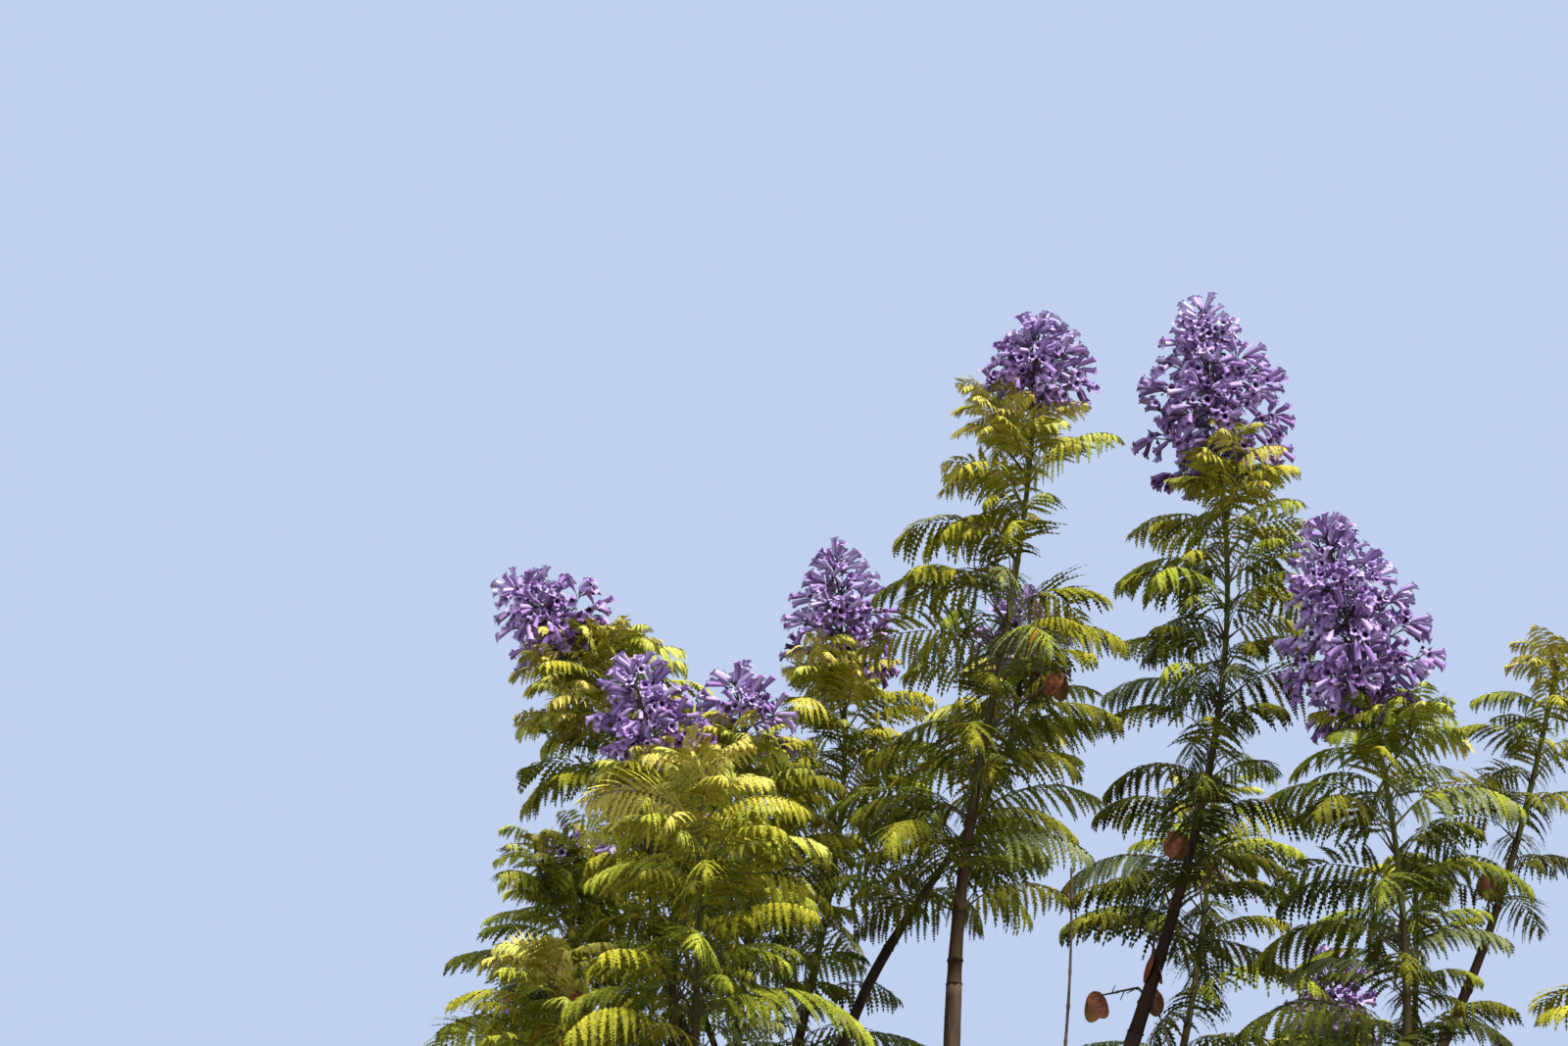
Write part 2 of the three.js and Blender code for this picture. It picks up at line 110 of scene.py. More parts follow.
# The shoots that the photograph shows, as in the source
SHOWN_SHOOTS = [
    dict(name="right_tall", origin="trunk", at=1, foot=(90, -100, 3470), tip=(300, -100, 4640),
         sway=(0.35, 0), tilt=(-0.08, 0), panicle=(440, 165)),
    dict(name="middle_tall", origin="trunk", at=0.95, foot=(-285, -250, 3540), tip=(-110, -250, 4700),
         sway=(0.05, 0), tilt=(0.08, 0), panicle=(280, 140)),
    dict(name="right_front", origin="trunk", at=0.88, foot=(590, -420, 3130), tip=(560, -420, 4030),
         sway=(0.05, 0), tilt=(-0.2, 0), panicle=(460, 165)),
    dict(name="left_middle", origin="trunk", at=0.91, foot=(-735, -80, 3330), tip=(-705, -80, 4050),
         tilt=(-0.15, 0), panicle=(210, 120)),
    dict(name="left_back", origin="trunk", at=0.84, foot=(-630, 500, 3420), tip=(-495, 500, 4370),
         tilt=(-0.05, 0), panicle=(340, 125)),
    dict(name="right_leggy", origin="trunk", at=0.86, foot=(745, 150, 3480), tip=(1035, 150, 4320),
         tilt=(0.25, 0), leaf_scale=0.75, leafy_share=0.7),
    dict(name="left_tip", origin="left_middle", at=0.62, foot=(-850, 190, 3560), tip=(-1065, 180, 4350),
         tilt=(-0.95, 0), panicle=(250, 125)),
    dict(name="left_front", origin="left_middle", at=0.7, foot=(-845, -330, 3300), tip=(-880, -335, 3950),
         tilt=(-0.25, 0), panicle=(270, 118)),
    dict(name="left_low", origin="left_middle", at=0.5, foot=(-990, -60, 3200), tip=(-1070, -90, 3760),
         panicle=(150, 85)),
    dict(name="front_leafy", origin="middle_tall", at=0.24, foot=(-805, -690, 3080), tip=(-790, -700, 3850)),
    dict(name="left_skirt", origin="front_leafy", at=0.5, foot=(-1010, -450, 2960), tip=(-1090, -470, 3520)),
    dict(name="middle_leaning", origin="left_back", at=0.86, foot=(-410, 215, 3710), tip=(-120, 200, 4300),
         sway=(0.6, -0.05), tilt=(0.05, 0), panicle=(210, 100)),
    dict(name="right_inner", origin="right_front", at=0.62, foot=(650, 10, 3180), tip=(690, 0, 3800)),
    dict(name="right_low", origin="right_leggy", at=0.46, foot=(545, 620, 3010), tip=(580, 650, 3590),
         panicle=(230, 105)),
]

# The shoots that fill the crown below, beside and behind those, as in the source
FILLING_SHOOTS = [
    dict(name="back_tall", origin="right_tall", at=0.2, tip=(330, 600, 4120), length=840),
    dict(name="back_left", origin="left_back", at=0.66, tip=(-900, 790, 4080), length=820,
         panicle=(240, 112)),
    dict(name="back_left_tip", origin="left_back", at=0.46, tip=(-1150, 500, 3560), length=610,
         panicle=(200, 100)),
    dict(name="skirt_left", origin="left_middle", at=0.24, tip=(-1170, 220, 3120), length=590),
    dict(name="skirt_back_left", origin="left_back", at=0.36, tip=(-440, 980, 3320), length=610,
         panicle=(240, 108)),
    dict(name="skirt_back", origin="back_tall", at=0.16, tip=(140, 1080, 3330), length=580,
         panicle=(230, 100)),
    dict(name="skirt_back_right", origin="right_leggy", at=0.3, tip=(640, 1010, 3170), length=570,
         panicle=(210, 96)),
    dict(name="back_right", origin="right_leggy", at=0.4, tip=(1050, 650, 3330), length=600,
         panicle=(230, 102)),
    dict(name="right_tip", origin="right_leggy", at=0.5, tip=(1330, 150, 3780), length=770,
         panicle=(280, 118)),
    dict(name="right_skirt", origin="right_front", at=0.5, tip=(1090, -380, 3540), length=610),
    dict(name="skirt_right", origin="right_leggy", at=0.2, tip=(1280, -100, 3000), length=560),
    dict(name="skirt_front_right", origin="right_front", at=0.28, tip=(840, -880, 3020), length=580),
    dict(name="skirt_front", origin="right_front", at=0.18, tip=(170, -830, 2970), length=560,
         panicle=(210, 98)),
    dict(name="skirt_front_left", origin="front_leafy", at=0.12, tip=(-380, -900, 3010), length=590),
]

# How single shoots differ: how much lighter their leaflets are, as painted sunlight on lit shoots and painted
# shade on shaded ones besides their own tone, what share of their leaves is greener, whether they have few
# inner leaves, at what share of a panicle its branches start, and the short shoots beside its foot, by
# heading in degrees from +X towards +Y, how far below the tip they part, how far above it they end and how
# far out.
LOOKS = {
    "right_tall": dict(warmer=-0.06, side_shoots=[(-75, 80, 95, 92)]),
    "middle_tall": dict(warmer=0.06, greener=0.15, panicle_start=0.32, side_shoots=[(-155, 80, 80, 100)]),
    "right_front": dict(warmer=-0.18, greener=0.75, airy=True, side_shoots=[(-20, 90, 40, 95)]),
    "left_middle": dict(side_shoots=[(-110, 80, 50, 80)]),
    "left_back": dict(warmer=0.06, greener=0.45, side_shoots=[(-115, 80, 75, 80)]),
    "right_leggy": dict(warmer=0.05, greener=0.1, airy=True),
    "left_tip": dict(warmer=0.08, side_shoots=[
        (-25, 80, 40, 80), (-160, 150, -20, 95), (-100, 230, -110, 110), (-172, 270, -150, 85)]),
    "left_front": dict(warmer=0.04, side_shoots=[(120, 80, 30, 80)]),
    "left_low": dict(warmer=-0.16, greener=0.8, side_shoots=[
        (110, 80, 30, 80), (-80, 60, 120, 55), (-150, 60, 100, 85)]),
    "front_leafy": dict(warmer=0.15, greener=0.55),
    "left_skirt": dict(warmer=0.06, greener=0.4),
    "middle_leaning": dict(warmer=0.16, greener=0.7),
    "right_inner": dict(warmer=-0.2, greener=0.8, airy=True),
    "right_low": dict(warmer=-0.18, greener=0.8, airy=True),
    "back_tall": dict(warmer=-0.06, greener=0.6),
}
OTHER_SIDE_SHOOT = (80, 80, 90)
PLAIN_SHOOT = dict(
    sway=None, tilt=None, panicle=None, leaf_scale=1, leafy_share=LEAFY_SHARE,
    warmer=0, greener=0.3, airy=False, panicle_start=0.08, side_shoots=None,
)

# Leaves that the source doesn't have: short steep ones from side buds, young ones round a tip, with each pair
# given by height over the tip, length and rise, and those of the short side shoots
INNER_LEAVES = Sizes(
    lengths=(0.6, 0.95), steeper=(0.105, 0.35), ends=(-0.1, 0.4), turn=0.5, paired=0.3, crowded=0.15, tries=4,
)
TUFT_LEAVES = ((-8, 150, 0.95), (6, 120, 1.15), (16, 80, 1.35))
PANICLE_TUFT = ((-8, 130, 0.9),)
TUFT = Sizes(turn=0.3, rise=0.08, ends=(-0.5, 0.3), youth=1.1, breadth=0.75)
SIDE_SHOOT = Sizes(
    radius=3.2, tip_radius=1.4, steps=5, sides=5, lean=0.9, bare=0.25, pairs=6, turn=0.4,
    rises=(0.7, 1.35), rise=0.1, ends=(-0.9, -0.1), youth=1.05, breadth=0.85, lengths=(175, 80),
)
YOUNG_LENGTHS = (0.85, 1.1)

# The solids' own reach to the sides, and how far a leaf may stand out of it
CROWN_REACH = Sizes(low=(-1394, -1054), high=(1538, 1207), beyond=25, shorter=0.95)

# Stems, thicker towards the foot, with a knot at each pair of leaves. Rings turn from a direction that no
# stem runs along.
STEM_SWELL = 2.1
STEM_SIDES = 6
KNOT_PLACES = np.array((0, 0.08, 0.5, 0.92, 1))
KNOT_SIZES = np.array((1.18, 1, 0.97, 1, 1.18))
RING_START = (0.31, 0.94, 0.13)

# Leaf stalks with their midribs. They are green where a leaf's youth, from 0 to 1, is over LEAF_STALK.young.
LEAF_STALK = Sizes(
    root_radius=2.2, tip_radius=0.7, taper=0.7, swelling=1.2, least_size=0.5, young=0.35, steps=5, sides=3,
)
LEAF_TWIST = Sizes(sweep=0.08, most_sweep=0.1, roll=0.42)
BARE_SHARE = Sizes(outer=0.17, inner=0.34)

# Feathers are the side branches of a leaf. Angles are in degrees from the midrib.
FEATHER = Sizes(
    gap=15, young_closer=0.15, fewest=7, pair_places=(0.05, 0.5), first_angle=72, last_angle=34, spread=8,
    length=0.33, young_longer=0.34, last=0.3, lengths=(0.82, 1.1),
)
FEATHER_OUTLINE = Sizes(least=0.36, start=0.26, power=0.85)
FEATHER_DROOP = Sizes(root=0.2, end=1.0, young_share=0.9, spread=(0.8, 1.2))

# Leaflets are single pointed blades in pairs along a feather. COARSER says how many times as far apart they
# stand on inner leaves, and on all leaves of the filling shoots.
LEAFLET = Sizes(
    gap=6.2, fewest=7, first=0.6, spare=0.1, length=10.6, lengths=(0.88, 1.12), angle=54, spread=5,
    foot=0.7, least_foot=0.5, tip=0.35, end_length=2.4, end_width=0.5,
)
LEAFLET_OUTLINE = Sizes(least=0.2, start=0.12, run=0.84, power=0.8)
LEAFLET_SCALE = Sizes(least=0.62, most=1.15, full_leaf=300)
LEAFLET_LIFT = Sizes(mean=-0.1, by_leaf=0.14, by_feather=0.16, by_leaflet=0.13)
COARSER = Sizes(inner=1.7, filling=2.1)

# Where a leaflet stands among the leaf colours: lighter and yellower near the shoot's tip and towards the
# leaf's end, for young leaves' own colour and as painted sunlight, and darker towards the feather's hanging
# end as painted shade. Some old leaves are grey in their darker parts, and few feathers rusty.
LEAF_TONE_AND_LIGHT = Sizes(
    least=0.15, near_tip=0.56, fade=330, outer=0.12, young_outer=0.16, outer_power=1.4,
    root=0.26, middle=0.4, by_leaf=0.08, by_feather=0.06, by_leaflet=0.05,
)
GREY = Sizes(chance=0.14, shades=4)
RUST_CHANCE = 0.003

# Panicles: an axis, crossed pairs of branches and cymes of a few flowers. A flower's room is kept between a
# branch's end and the panicle's outline, and a side shoot is kept clear of flowers.
FLOWER_ROOM = 34
SIDE_CLEARING = 46
CLEARING_STEPS = 8
PANICLE_OUTLINE = Sizes(peak=0.6, power=0.8)
AXIS = Sizes(root_radius=5, tip_radius=1.5, sunk=6, points=6, sides=5, end_rooms=1.4)
BRANCH = Sizes(
    run=0.9, gap=26, first=0.25, turn=0.35, rises=(6, 58), rise=9, upturn=0.5, lengths=(0.86, 1.02),
    root_radius=2.1, tip_radius=1.1, steps=3, sides=4, shortest=6, longest=1.3, search_step=3,
)
CYME = Sizes(gap=14, flowers=3, end_flowers=4, top_flowers=5, onward=0.8, spread=0.45, rises=(-0.2, 0.3))
CYME_KINDS = {"flower": 0.84, "bud": 0.07, "bare": 0.09}
SIDE_TWIG = Sizes(lengths=(8, 30), full_reach=60, onward=0.6, rises=(-0.3, 0.4))
PEDICEL = Sizes(lengths=(7, 16), radius=0.8, sides=3, low_nods=(-0.7, 0), high_nods=(-0.2, 0.3))

# A flower, 38 mm from its stalk to its mouth, along +Z: rings of the trumpet as height and radius, then five
# lobes. The bud and the calyx are given in the same way. Lower flowers are darker and bluer, as painted
# shade.
FLOWER_RINGS = ((0, 1.6), (6, 2.7), (13, 5.4), (33, 6.4))
FLOWER_SIDES = 5
FLOWER_BEND = 0.009
LOBE = Sizes(spread=9, reach=11.8, rise=5, curl=4.5, width=0.84)
BUD_RINGS = ((0, 1.3), (9, 3.1))
BUD_SIDES = 4
BUD_TIP = 17
CALYX_RINGS = ((-3, 1.1), (4.5, 3.1))
CALYX_SIDES = 3
FLOWER_SIZE = Sizes(least=0.92, more=0.26, turns=2.4)
FLOWER_SHADE = Sizes(low=0.62, high=0.27, spread=0.55)
FLOWER_SAG = (0.13, 0.07, 0)

# Bark. Its relief is three layers of noise, by size across and along, share of the whole, and a shift that
# sets them apart. A bough has a collar where it leaves the wood below it.
BARK = Sizes(
    trunk_sides=48, trunk_step=17, bough_step=25, bough_sides=(9, 20), side_share=0.55,
    relief=2.6, least_relief=0.5, relief_share=0.045, smooth_foot=20, collar=0.45, collar_length=1.6,
)
BARK_WAVES = Sizes(across=26, along=150, share=0.8, shift=0)
BARK_RIDGES = Sizes(across=11, along=70, share=0.5, shift=40, sharpness=2.4)
BARK_GRAIN = Sizes(across=5, along=13, share=0.3, shift=90)

# Stalks of last year's flowers with their pods, and the dead rod, as in the source. Pods and
# twigs stand at shares of a stalk.
STALKS = [
    dict(on="right_tall", below=1085, end=(176, -170, 3870), pods=(0.16, 1)),
    dict(on="right_tall", below=1120, end=(6, -190, 3530), pods=(1,)),
    dict(on="right_tall", below=860, end=(268, -40, 3830), pods=(1,)),
    dict(on="middle_tall", below=700, end=(-66, -205, 4200), pods=(1,)),
    dict(on="left_skirt", below=300, end=(-1030, -500, 3470), pods=(1,)),
    dict(on="right_leggy", below=610, end=(860, 120, 3850), pods=(1,)),
    dict(on="back_tall", below=740, end=(190, 690, 3720), pods=(1,)),
    dict(on="back_left", below=700, end=(-980, 900, 3560), pods=(1,)),
]
STALK = Sizes(radius=3.2, tip_radius=1.7, steps=16, sides=5, knot_gap=46, swelling=0.5)
STALK_TWIG = Sizes(places=(0.35, 0.55, 0.75, 0.9), lift=0.6, lengths=(12, 34), radii=(1.5, 0.9), sides=4)
DEAD_SHOOT = Sizes(origin="middle_tall", at=0.5, top=(-47, -300, 3770), heading=(0.3, -0.75, 0.6))
ROD = Sizes(radius=5.5, tip_radius=2.4, steps=40, sides=7, knot_gap=70, swelling=0.35)
KNOT = Sizes(after=0.12, before=0.88, neck=0.96, spread=0.05)

# A pod is two woody valves, each a little longer than wide, with a wavy rim. They gape at the lower edge.
POD = Sizes(
    radius=29, thickness=15, hang=0.8, bulge=0.42, gapes=(0.25, 0.6), lining=1.6, rings=4, sides=18,
    length=1.12, width=0.8, waves=3, wave=0.05, wave_spread=0.6, warps=2, warp=1.3, warp_start=1,
)


def srgb(red, green, blue):
    """A colour given as it looks on screen, 0 to 255, in the linear values that a shader takes."""
    shares = np.array([red, green, blue]) / 255
    linear = np.where(shares <= 0.04045, shares / 12.92, ((shares + 0.055) / 1.055) ** 2.4)
    return (*linear, 1.0)


# From the shaded inside of the crown to the sunlit young tips. The second colour is that of greener leaves.
LEAF_COLOURS = [
    ("deep", srgb(45, 46, 12), srgb(43, 47, 14)),
    ("dark", srgb(61, 61, 15), srgb(57, 61, 17)),
    ("green", srgb(78, 78, 19), srgb(73, 78, 22)),
    ("olive", srgb(96, 95, 23), srgb(91, 96, 27)),
    ("moss", srgb(114, 112, 29), srgb(108, 114, 33)),
    ("lime", srgb(132, 127, 38), srgb(126, 129, 42)),
    ("gold", srgb(149, 141, 54), srgb(141, 144, 56)),
    ("amber", srgb(163, 152, 76), srgb(154, 154, 77)),
]
GREY_LEAFLETS = ("leaflets_grey", srgb(80, 86, 40))
RUST_LEAFLETS = ("leaflets_rust", srgb(124, 94, 26))
FLOWER_COLOURS = [
    ("flowers_lilac", srgb(162, 149, 186)),
    ("flowers_lavender", srgb(147, 126, 170)),
    ("flowers_violet", srgb(126, 99, 150)),
    ("flowers_blue_violet", srgb(88, 62, 106)),
]
STEM_COLOURS = [
    ("stems_green", srgb(66, 68, 29), 420),
    ("stems_olive", srgb(48, 42, 24), 700),
    ("stems_brown", srgb(44, 33, 23), 5000),
]
SMALL_COLOURS = [
    ("leaf_stalks_young", srgb(88, 84, 34)),
    ("leaf_stalks_old", srgb(52, 46, 24)),
    ("panicle_stalks", srgb(52, 42, 32)),
    ("flower_stalks", srgb(44, 34, 30)),
    ("flower_buds", srgb(72, 60, 92)),
    ("calyces", srgb(44, 30, 38)),
]

# Roughness and shine of what has a plain colour
LEAFLET_LOOK = (0.6, 0.03)
GREY_LOOK = (0.6, 0.3)
FLOWER_LOOK = (0.7, 0.05)
STEM_LOOK = (0.8, 0.05)
SMALL_LOOK = (0.6, 0.2)
FLOOR_LOOK = (0.9, 0.1)

# What has a grain: its dark and its light colour, roughness, and the grain's scale, stretch and relief
GRAINED = {
    "pod_skin": (srgb(66, 34, 18), srgb(128, 72, 38), 0.6, 90, 1, 0.4),
    "pod_lining": (srgb(112, 76, 44), srgb(146, 104, 62), 0.6, 60, 1, 0.2),
    "dry_stalk": (srgb(36, 28, 22), srgb(72, 58, 42), 0.8, 120, 0.3, 0.3),
    "dead_wood": (srgb(34, 26, 20), srgb(68, 55, 41), 0.85, 110, 0.3, 0.4),
    "bark": (srgb(30, 20, 14), srgb(64, 48, 35), 0.9, 30, 0.22, 0.7),
}
GRAIN = Sizes(detail=6, roughness=0.65, dark_until=0.36, light_from=0.66, depth=0.003, shine=0.25)

# Studio, in metres
FLOOR_HALF = 30
FLOOR_COLOUR = srgb(118, 118, 114)
BACKDROP_COLOUR = srgb(192, 208, 238)
CROWN_MIDDLE = (0.0, 0.0, 3.9)
KEY = Sizes(place=(4.5, -3.6, 12.5), width=14, strength=11.5, colour=(1.0, 0.96, 0.88))
LIGHTS = [
    ("fill", (-7.5, -12.0, 6.0), 7.0, 900, (1.0, 0.97, 0.92)),
    ("rim", (3.0, 8.0, 7.5), 4.0, 360, (1.0, 0.98, 0.94)),
]


def unit(vector):
    return vector / np.linalg.norm(vector)


def unit_rows(vectors):
    return vectors / np.linalg.norm(vectors, axis=-1, keepdims=True)


def place(values):
    return np.array(values, dtype=float)


def level_direction(turn):
    return place((math.cos(turn), math.sin(turn), 0))


def blend(first, last, share):
    return first + (last - first) * share


def by_age(sizes, youth):
    return blend(sizes.old, sizes.young, youth)


def spread(random, reach):
    """A random number, at most as far as reach on either side of 0."""
    return random.uniform(-reach, reach)


def even_numbers(seed):
    """The source's generator of even numbers from 0 to 1."""
    state = seed % GENERATOR.size
    while True:
        state = (state * GENERATOR.factor + GENERATOR.step) % GENERATOR.size
        yield state / GENERATOR.size


class Curve:
    """A cubic curve that leaves its start and reaches its end in given directions."""

    def __init__(self, start, start_direction, end, end_direction):
        reach = BEND * np.linalg.norm(end - start)
        self.handles = (start, start + start_direction * reach, end - end_direction * reach, end)

    def point(self, share):
        share = np.asarray(share, dtype=float)[..., None]
        rest = 1 - share
        weights = (rest**3, 3 * rest**2 * share, 3 * rest * share**2, share**3)
        return sum(weight * handle for weight, handle in zip(weights, self.handles))

    def direction(self, share):
        return unit(self.point(min(1, share + SMALL_SHARE)) - self.point(max(0, share - SMALL_SHARE)))

    def points(self, steps):
        return self.point(np.linspace(0, 1, steps + 1))

    def length(self):
        return np.linalg.norm(np.diff(self.points(MEASURING_STEPS), axis=0), axis=1).sum()


TRUNK_AXIS = Curve(place((0, 0, 0)), UP, place((*TRUNK.lean, TRUNK.height)), UP)


def lay_out(row, index, shoots):
    """A shoot's own axis, and the axis of the bough that carries it."""
    shoot = Sizes(**(PLAIN_SHOOT | LOOKS.get(row["name"], {}) | row))
    shoot.index = index
    shoot.shown = index < len(SHOWN_SHOOTS)
    shoot.tip = place(row["tip"])
    outward = unit(shoot.tip * (1, 1, 0))
    if "foot" in row:
        shoot.foot = place(row["foot"])
    else:
        shoot.foot = shoot.tip - outward * OUTWARD_LEAN * row["length"] - UP * row["length"]
    run = shoot.tip - shoot.foot
    lean = run[:2] / run[2]
    foot_lean = FOOT_LEAN * lean if shoot.sway is None else shoot.sway
    tip_lean = TIP_LEAN * lean if shoot.tilt is None else shoot.tilt
    foot_direction = unit(place((*foot_lean, 1)))
    shoot.tip_direction = unit(place((*tip_lean, 1)))

    shoot.parent = next((other for other in shoots if other.name == shoot.origin), None)
    parent_axis = shoot.parent.bough_axis if shoot.parent else TRUNK_AXIS
    start = parent_axis.point(shoot.at)
    start_direction = parent_axis.direction(shoot.at)
    if shoot.at == 1:
        start = start + start_direction * JOINT_GAP
    else:
        towards = unit((shoot.foot - start) * (1, 1, 0))
        start_direction = unit(start_direction * math.cos(PARTING_ANGLE) + towards * math.sin(PARTING_ANGLE))
    shoot.length = np.linalg.norm(run)
    shoot.phase = next(even_numbers(SEEDS.phase + index)) - 0.5
    stem_start = shoot.foot + foot_direction * JOINT_GAP
    shoot.axis = Curve(stem_start, foot_direction, shoot.tip, shoot.tip_direction)
    shoot.foot_radius = STEM_TIP_RADIUS + STEM_TAPER * shoot.length
    shoot.bough_axis = Curve(start, start_direction, shoot.foot, foot_direction)
    shoot.line = shoot.axis.points(LINE_STEPS)
    if shoot.panicle:
        shoot.line = np.vstack([shoot.line, shoot.tip + shoot.tip_direction * shoot.panicle[0]])
    return shoot


def lay_out_crown():
    shoots = []
    for index, row in enumerate(SHOWN_SHOOTS + FILLING_SHOOTS):
        shoots.append(lay_out(row, index, shoots))
    for shoot in reversed(shoots):
        area = shoot.foot_radius**2
        area += sum(other.start_radius**2 for other in shoots if other.parent is shoot)
        shoot.start_radius = math.sqrt(area) + BOUGH_TAPER * shoot.bough_axis.length()
    return shoots


class Space:
    """Tells whether points keep to one shoot's space: nearest to its axis of all, and clear of the wood."""

    def __init__(self, shoots):
        self.stems = self.pieces([shoot.line for shoot in shoots])
        self.boughs = self.pieces([shoot.bough_axis.points(LINE_STEPS) for shoot in shoots])
        self.clearances = place([shoot.start_radius + WOOD_GAP for shoot in shoots])

    @staticmethod
    def pieces(lines):
        starts = np.vstack([line[:-1] for line in lines])
        ends = np.vstack([line[1:] for line in lines])
        counts = [len(line) - 1 for line in lines]
        return starts, ends - starts, np.concatenate([[0], np.cumsum(counts)[:-1]])

    @staticmethod
    def distances(points, pieces):
        """From each point to each line, in one column for each line."""
        starts, runs, firsts = pieces
        offsets = points[:, None] - starts
        shares = np.clip((offsets * runs).sum(-1) / (runs**2).sum(-1), 0, 1)
        gaps = np.linalg.norm(offsets - shares[..., None] * runs, axis=-1)
        return np.minimum.reduceat(gaps, firsts, axis=1)

    def holds(self, index, points):
        """One answer for each point."""
        clear_of_wood = (self.distances(points, self.boughs) > self.clearances).all(1)
        gaps = self.distances(points, self.stems)
        own = gaps[:, index].copy()
        gaps[:, index] = np.inf
        return clear_of_wood & (gaps.min(1) > own + SPACE_GAP)


def below_tip(shoot, below):
    """The place on a shoot's stem this far below its tip."""
    return shoot.axis.point(1 - below / shoot.length)


def midrib(leaf, share):
    """Points on a leaf's midrib, which is an arc of a circle from its rise down to its end slope."""
    share = np.asarray(share, dtype=float)[..., None]
    slope = blend(leaf.rise, leaf.end, share)
    size = leaf.length / (leaf.rise - leaf.end)
    level = leaf.heading * size * (math.sin(leaf.rise) - np.sin(slope))
    upward = UP * size * (np.cos(slope) - math.cos(leaf.rise))
    aside = np.cross(leaf.heading, UP) * leaf.length * leaf.sweep * share**2
    return leaf.root + level + upward + aside


def midrib_direction(leaf, share):
    slope = blend(leaf.rise, leaf.end, np.asarray(share, dtype=float))[..., None]
    return leaf.heading * np.cos(slope) + UP * np.sin(slope)


def leaf_points(leaf):
    """The points by which the source tells whether a leaf keeps to its space."""
    width = leaf.length * LEAF_HALF_WIDTH * leaf.breadth
    side = np.cross(leaf.heading, UP) * width * math.cos(LEAF_DROOP)
    drop = UP * width * math.sin(LEAF_DROOP)
    edges = midrib(leaf, EDGE_SHARES) - drop
    return np.vstack([midrib(leaf, MIDRIB_SHARES), edges + side, edges - side])


def new_leaf(root, turn, youth, rise, end, breadth, below=0):
    """A leaf, still without its length."""
    return Sizes(
        root=root, heading=level_direction(turn), youth=youth, rise=rise, end=end, breadth=breadth,
        below=below, sweep=0, coarseness=1, bare=BARE_SHARE.outer,
    )


def node_leaf(shoot, node, turn, steeper, end_change):
    """A leaf of its node's age, which is steeper at its root and at its end by the amounts given."""
    below = shoot.nodes[node]
    youth = math.exp(-node / YOUNG_NODES)
    rise = by_age(LEAF_RISE, youth) + steeper
    end = by_age(LEAF_END, youth) + end_change
    return new_leaf(below_tip(shoot, below), turn, youth, rise, end, by_age(LEAF_BREADTH, youth), below)


def fitted(leaf, length, fits, shoot, space):
    """A list of the leaf, at the first share of its length that keeps to its shoot's space, or of nothing."""
    for share in fits:
        leaf.length = length * share
        if space.holds(shoot.index, leaf_points(leaf)).all():
            return [leaf]
    return []


def grow_leaves(shoot, space):
    """Crossed pairs from the tip down, leaf for leaf as in the source."""
    numbers = even_numbers(SEEDS.leaves + SEEDS.step * shoot.index)

    def vary(size):
        return size * (2 * next(numbers) - 1)

    leaves = []
    shoot.nodes = []
    below = FIRST_NODE
    gap = NODE_GAP.first
    while below < shoot.length * shoot.leafy_share:
        node = len(shoot.nodes)
        shoot.nodes.append(below)
        pair_turn = shoot.phase + node * TURN / 4 + vary(VARIATION.pair)
        for side in (0, TURN / 2):
            turn = pair_turn + side + vary(VARIATION.leaf)
            longer = 1 + vary(VARIATION.length)
            leaf = node_leaf(shoot, node, turn, vary(VARIATION.rise), vary(VARIATION.end))
            length = by_age(LEAF_LENGTH, leaf.youth) * shoot.leaf_scale * longer
            leaves += fitted(leaf, length, FITS, shoot, space)
        below += gap
        gap = min(gap * NODE_GAP.growth, NODE_GAP.longest)
    return leaves


def keep_to_crown(leaf):
    """Shortens a leaf that would stand far out of the solids' own reach."""
    low = place(CROWN_REACH.low) - CROWN_REACH.beyond
    high = place(CROWN_REACH.high) + CROWN_REACH.beyond
    tip = midrib(leaf, 1)[:2]
    while (tip < low).any() or (tip > high).any():
        leaf.length *= CROWN_REACH.shorter
        tip = midrib(leaf, 1)[:2]


def bud_turns(shoot, node):
    """Where a node's side buds stand: two on a young node and one on an old one.

    A bushy shoot has two at every node and four at the young ones.
    """
    youth = math.exp(-node / YOUNG_NODES)
    bushy = shoot.shown and not shoot.airy
    first = TURN / 2 * (node // 2 % 2)
    turns = [first]
    if bushy or youth > INNER_LEAVES.paired:
        turns.append(first + TURN / 2)
    if bushy and youth > INNER_LEAVES.crowded:
        turns += [first + TURN / 8, first + TURN * 5 / 8]
    return turns


def inner_leaves(shoot, space, random):
    """Shorter and steeper leaves from side buds at the same nodes."""
    leaves = []
    for node in range(len(shoot.nodes)):
        for side in bud_turns(shoot, node):
            turn = shoot.phase + (node + 1) * TURN / 4 + side + spread(random, INNER_LEAVES.turn)
            steeper = random.uniform(*INNER_LEAVES.steeper)
            leaf = node_leaf(shoot, node, turn, steeper, random.uniform(*INNER_LEAVES.ends))
            leaf.coarseness = COARSER.inner
            leaf.bare = BARE_SHARE.inner
            length = by_age(LEAF_LENGTH, leaf.youth) * shoot.leaf_scale
            length *= random.uniform(*INNER_LEAVES.lengths)
            leaves += fitted(leaf, length, FITS[:INNER_LEAVES.tries], shoot, space)
    return leaves


def tuft_leaves(shoot, random):
    """The youngest leaves, which stand up round the tip, or at the foot of a panicle."""
    leaves = []
    for pair, (above, length, rise) in enumerate(PANICLE_TUFT if shoot.panicle else TUFT_LEAVES):
        root = shoot.tip + shoot.tip_direction * above
        for side in (0, TURN / 2):
            turn = shoot.phase + (pair + 1) * TURN / 4 + side + spread(random, TUFT.turn)
            rise += spread(random, TUFT.rise)
            leaf = new_leaf(root, turn, TUFT.youth, rise, random.uniform(*TUFT.ends), TUFT.breadth)
            leaf.length = length * random.uniform(*YOUNG_LENGTHS)
            leaves.append(leaf)
    return leaves


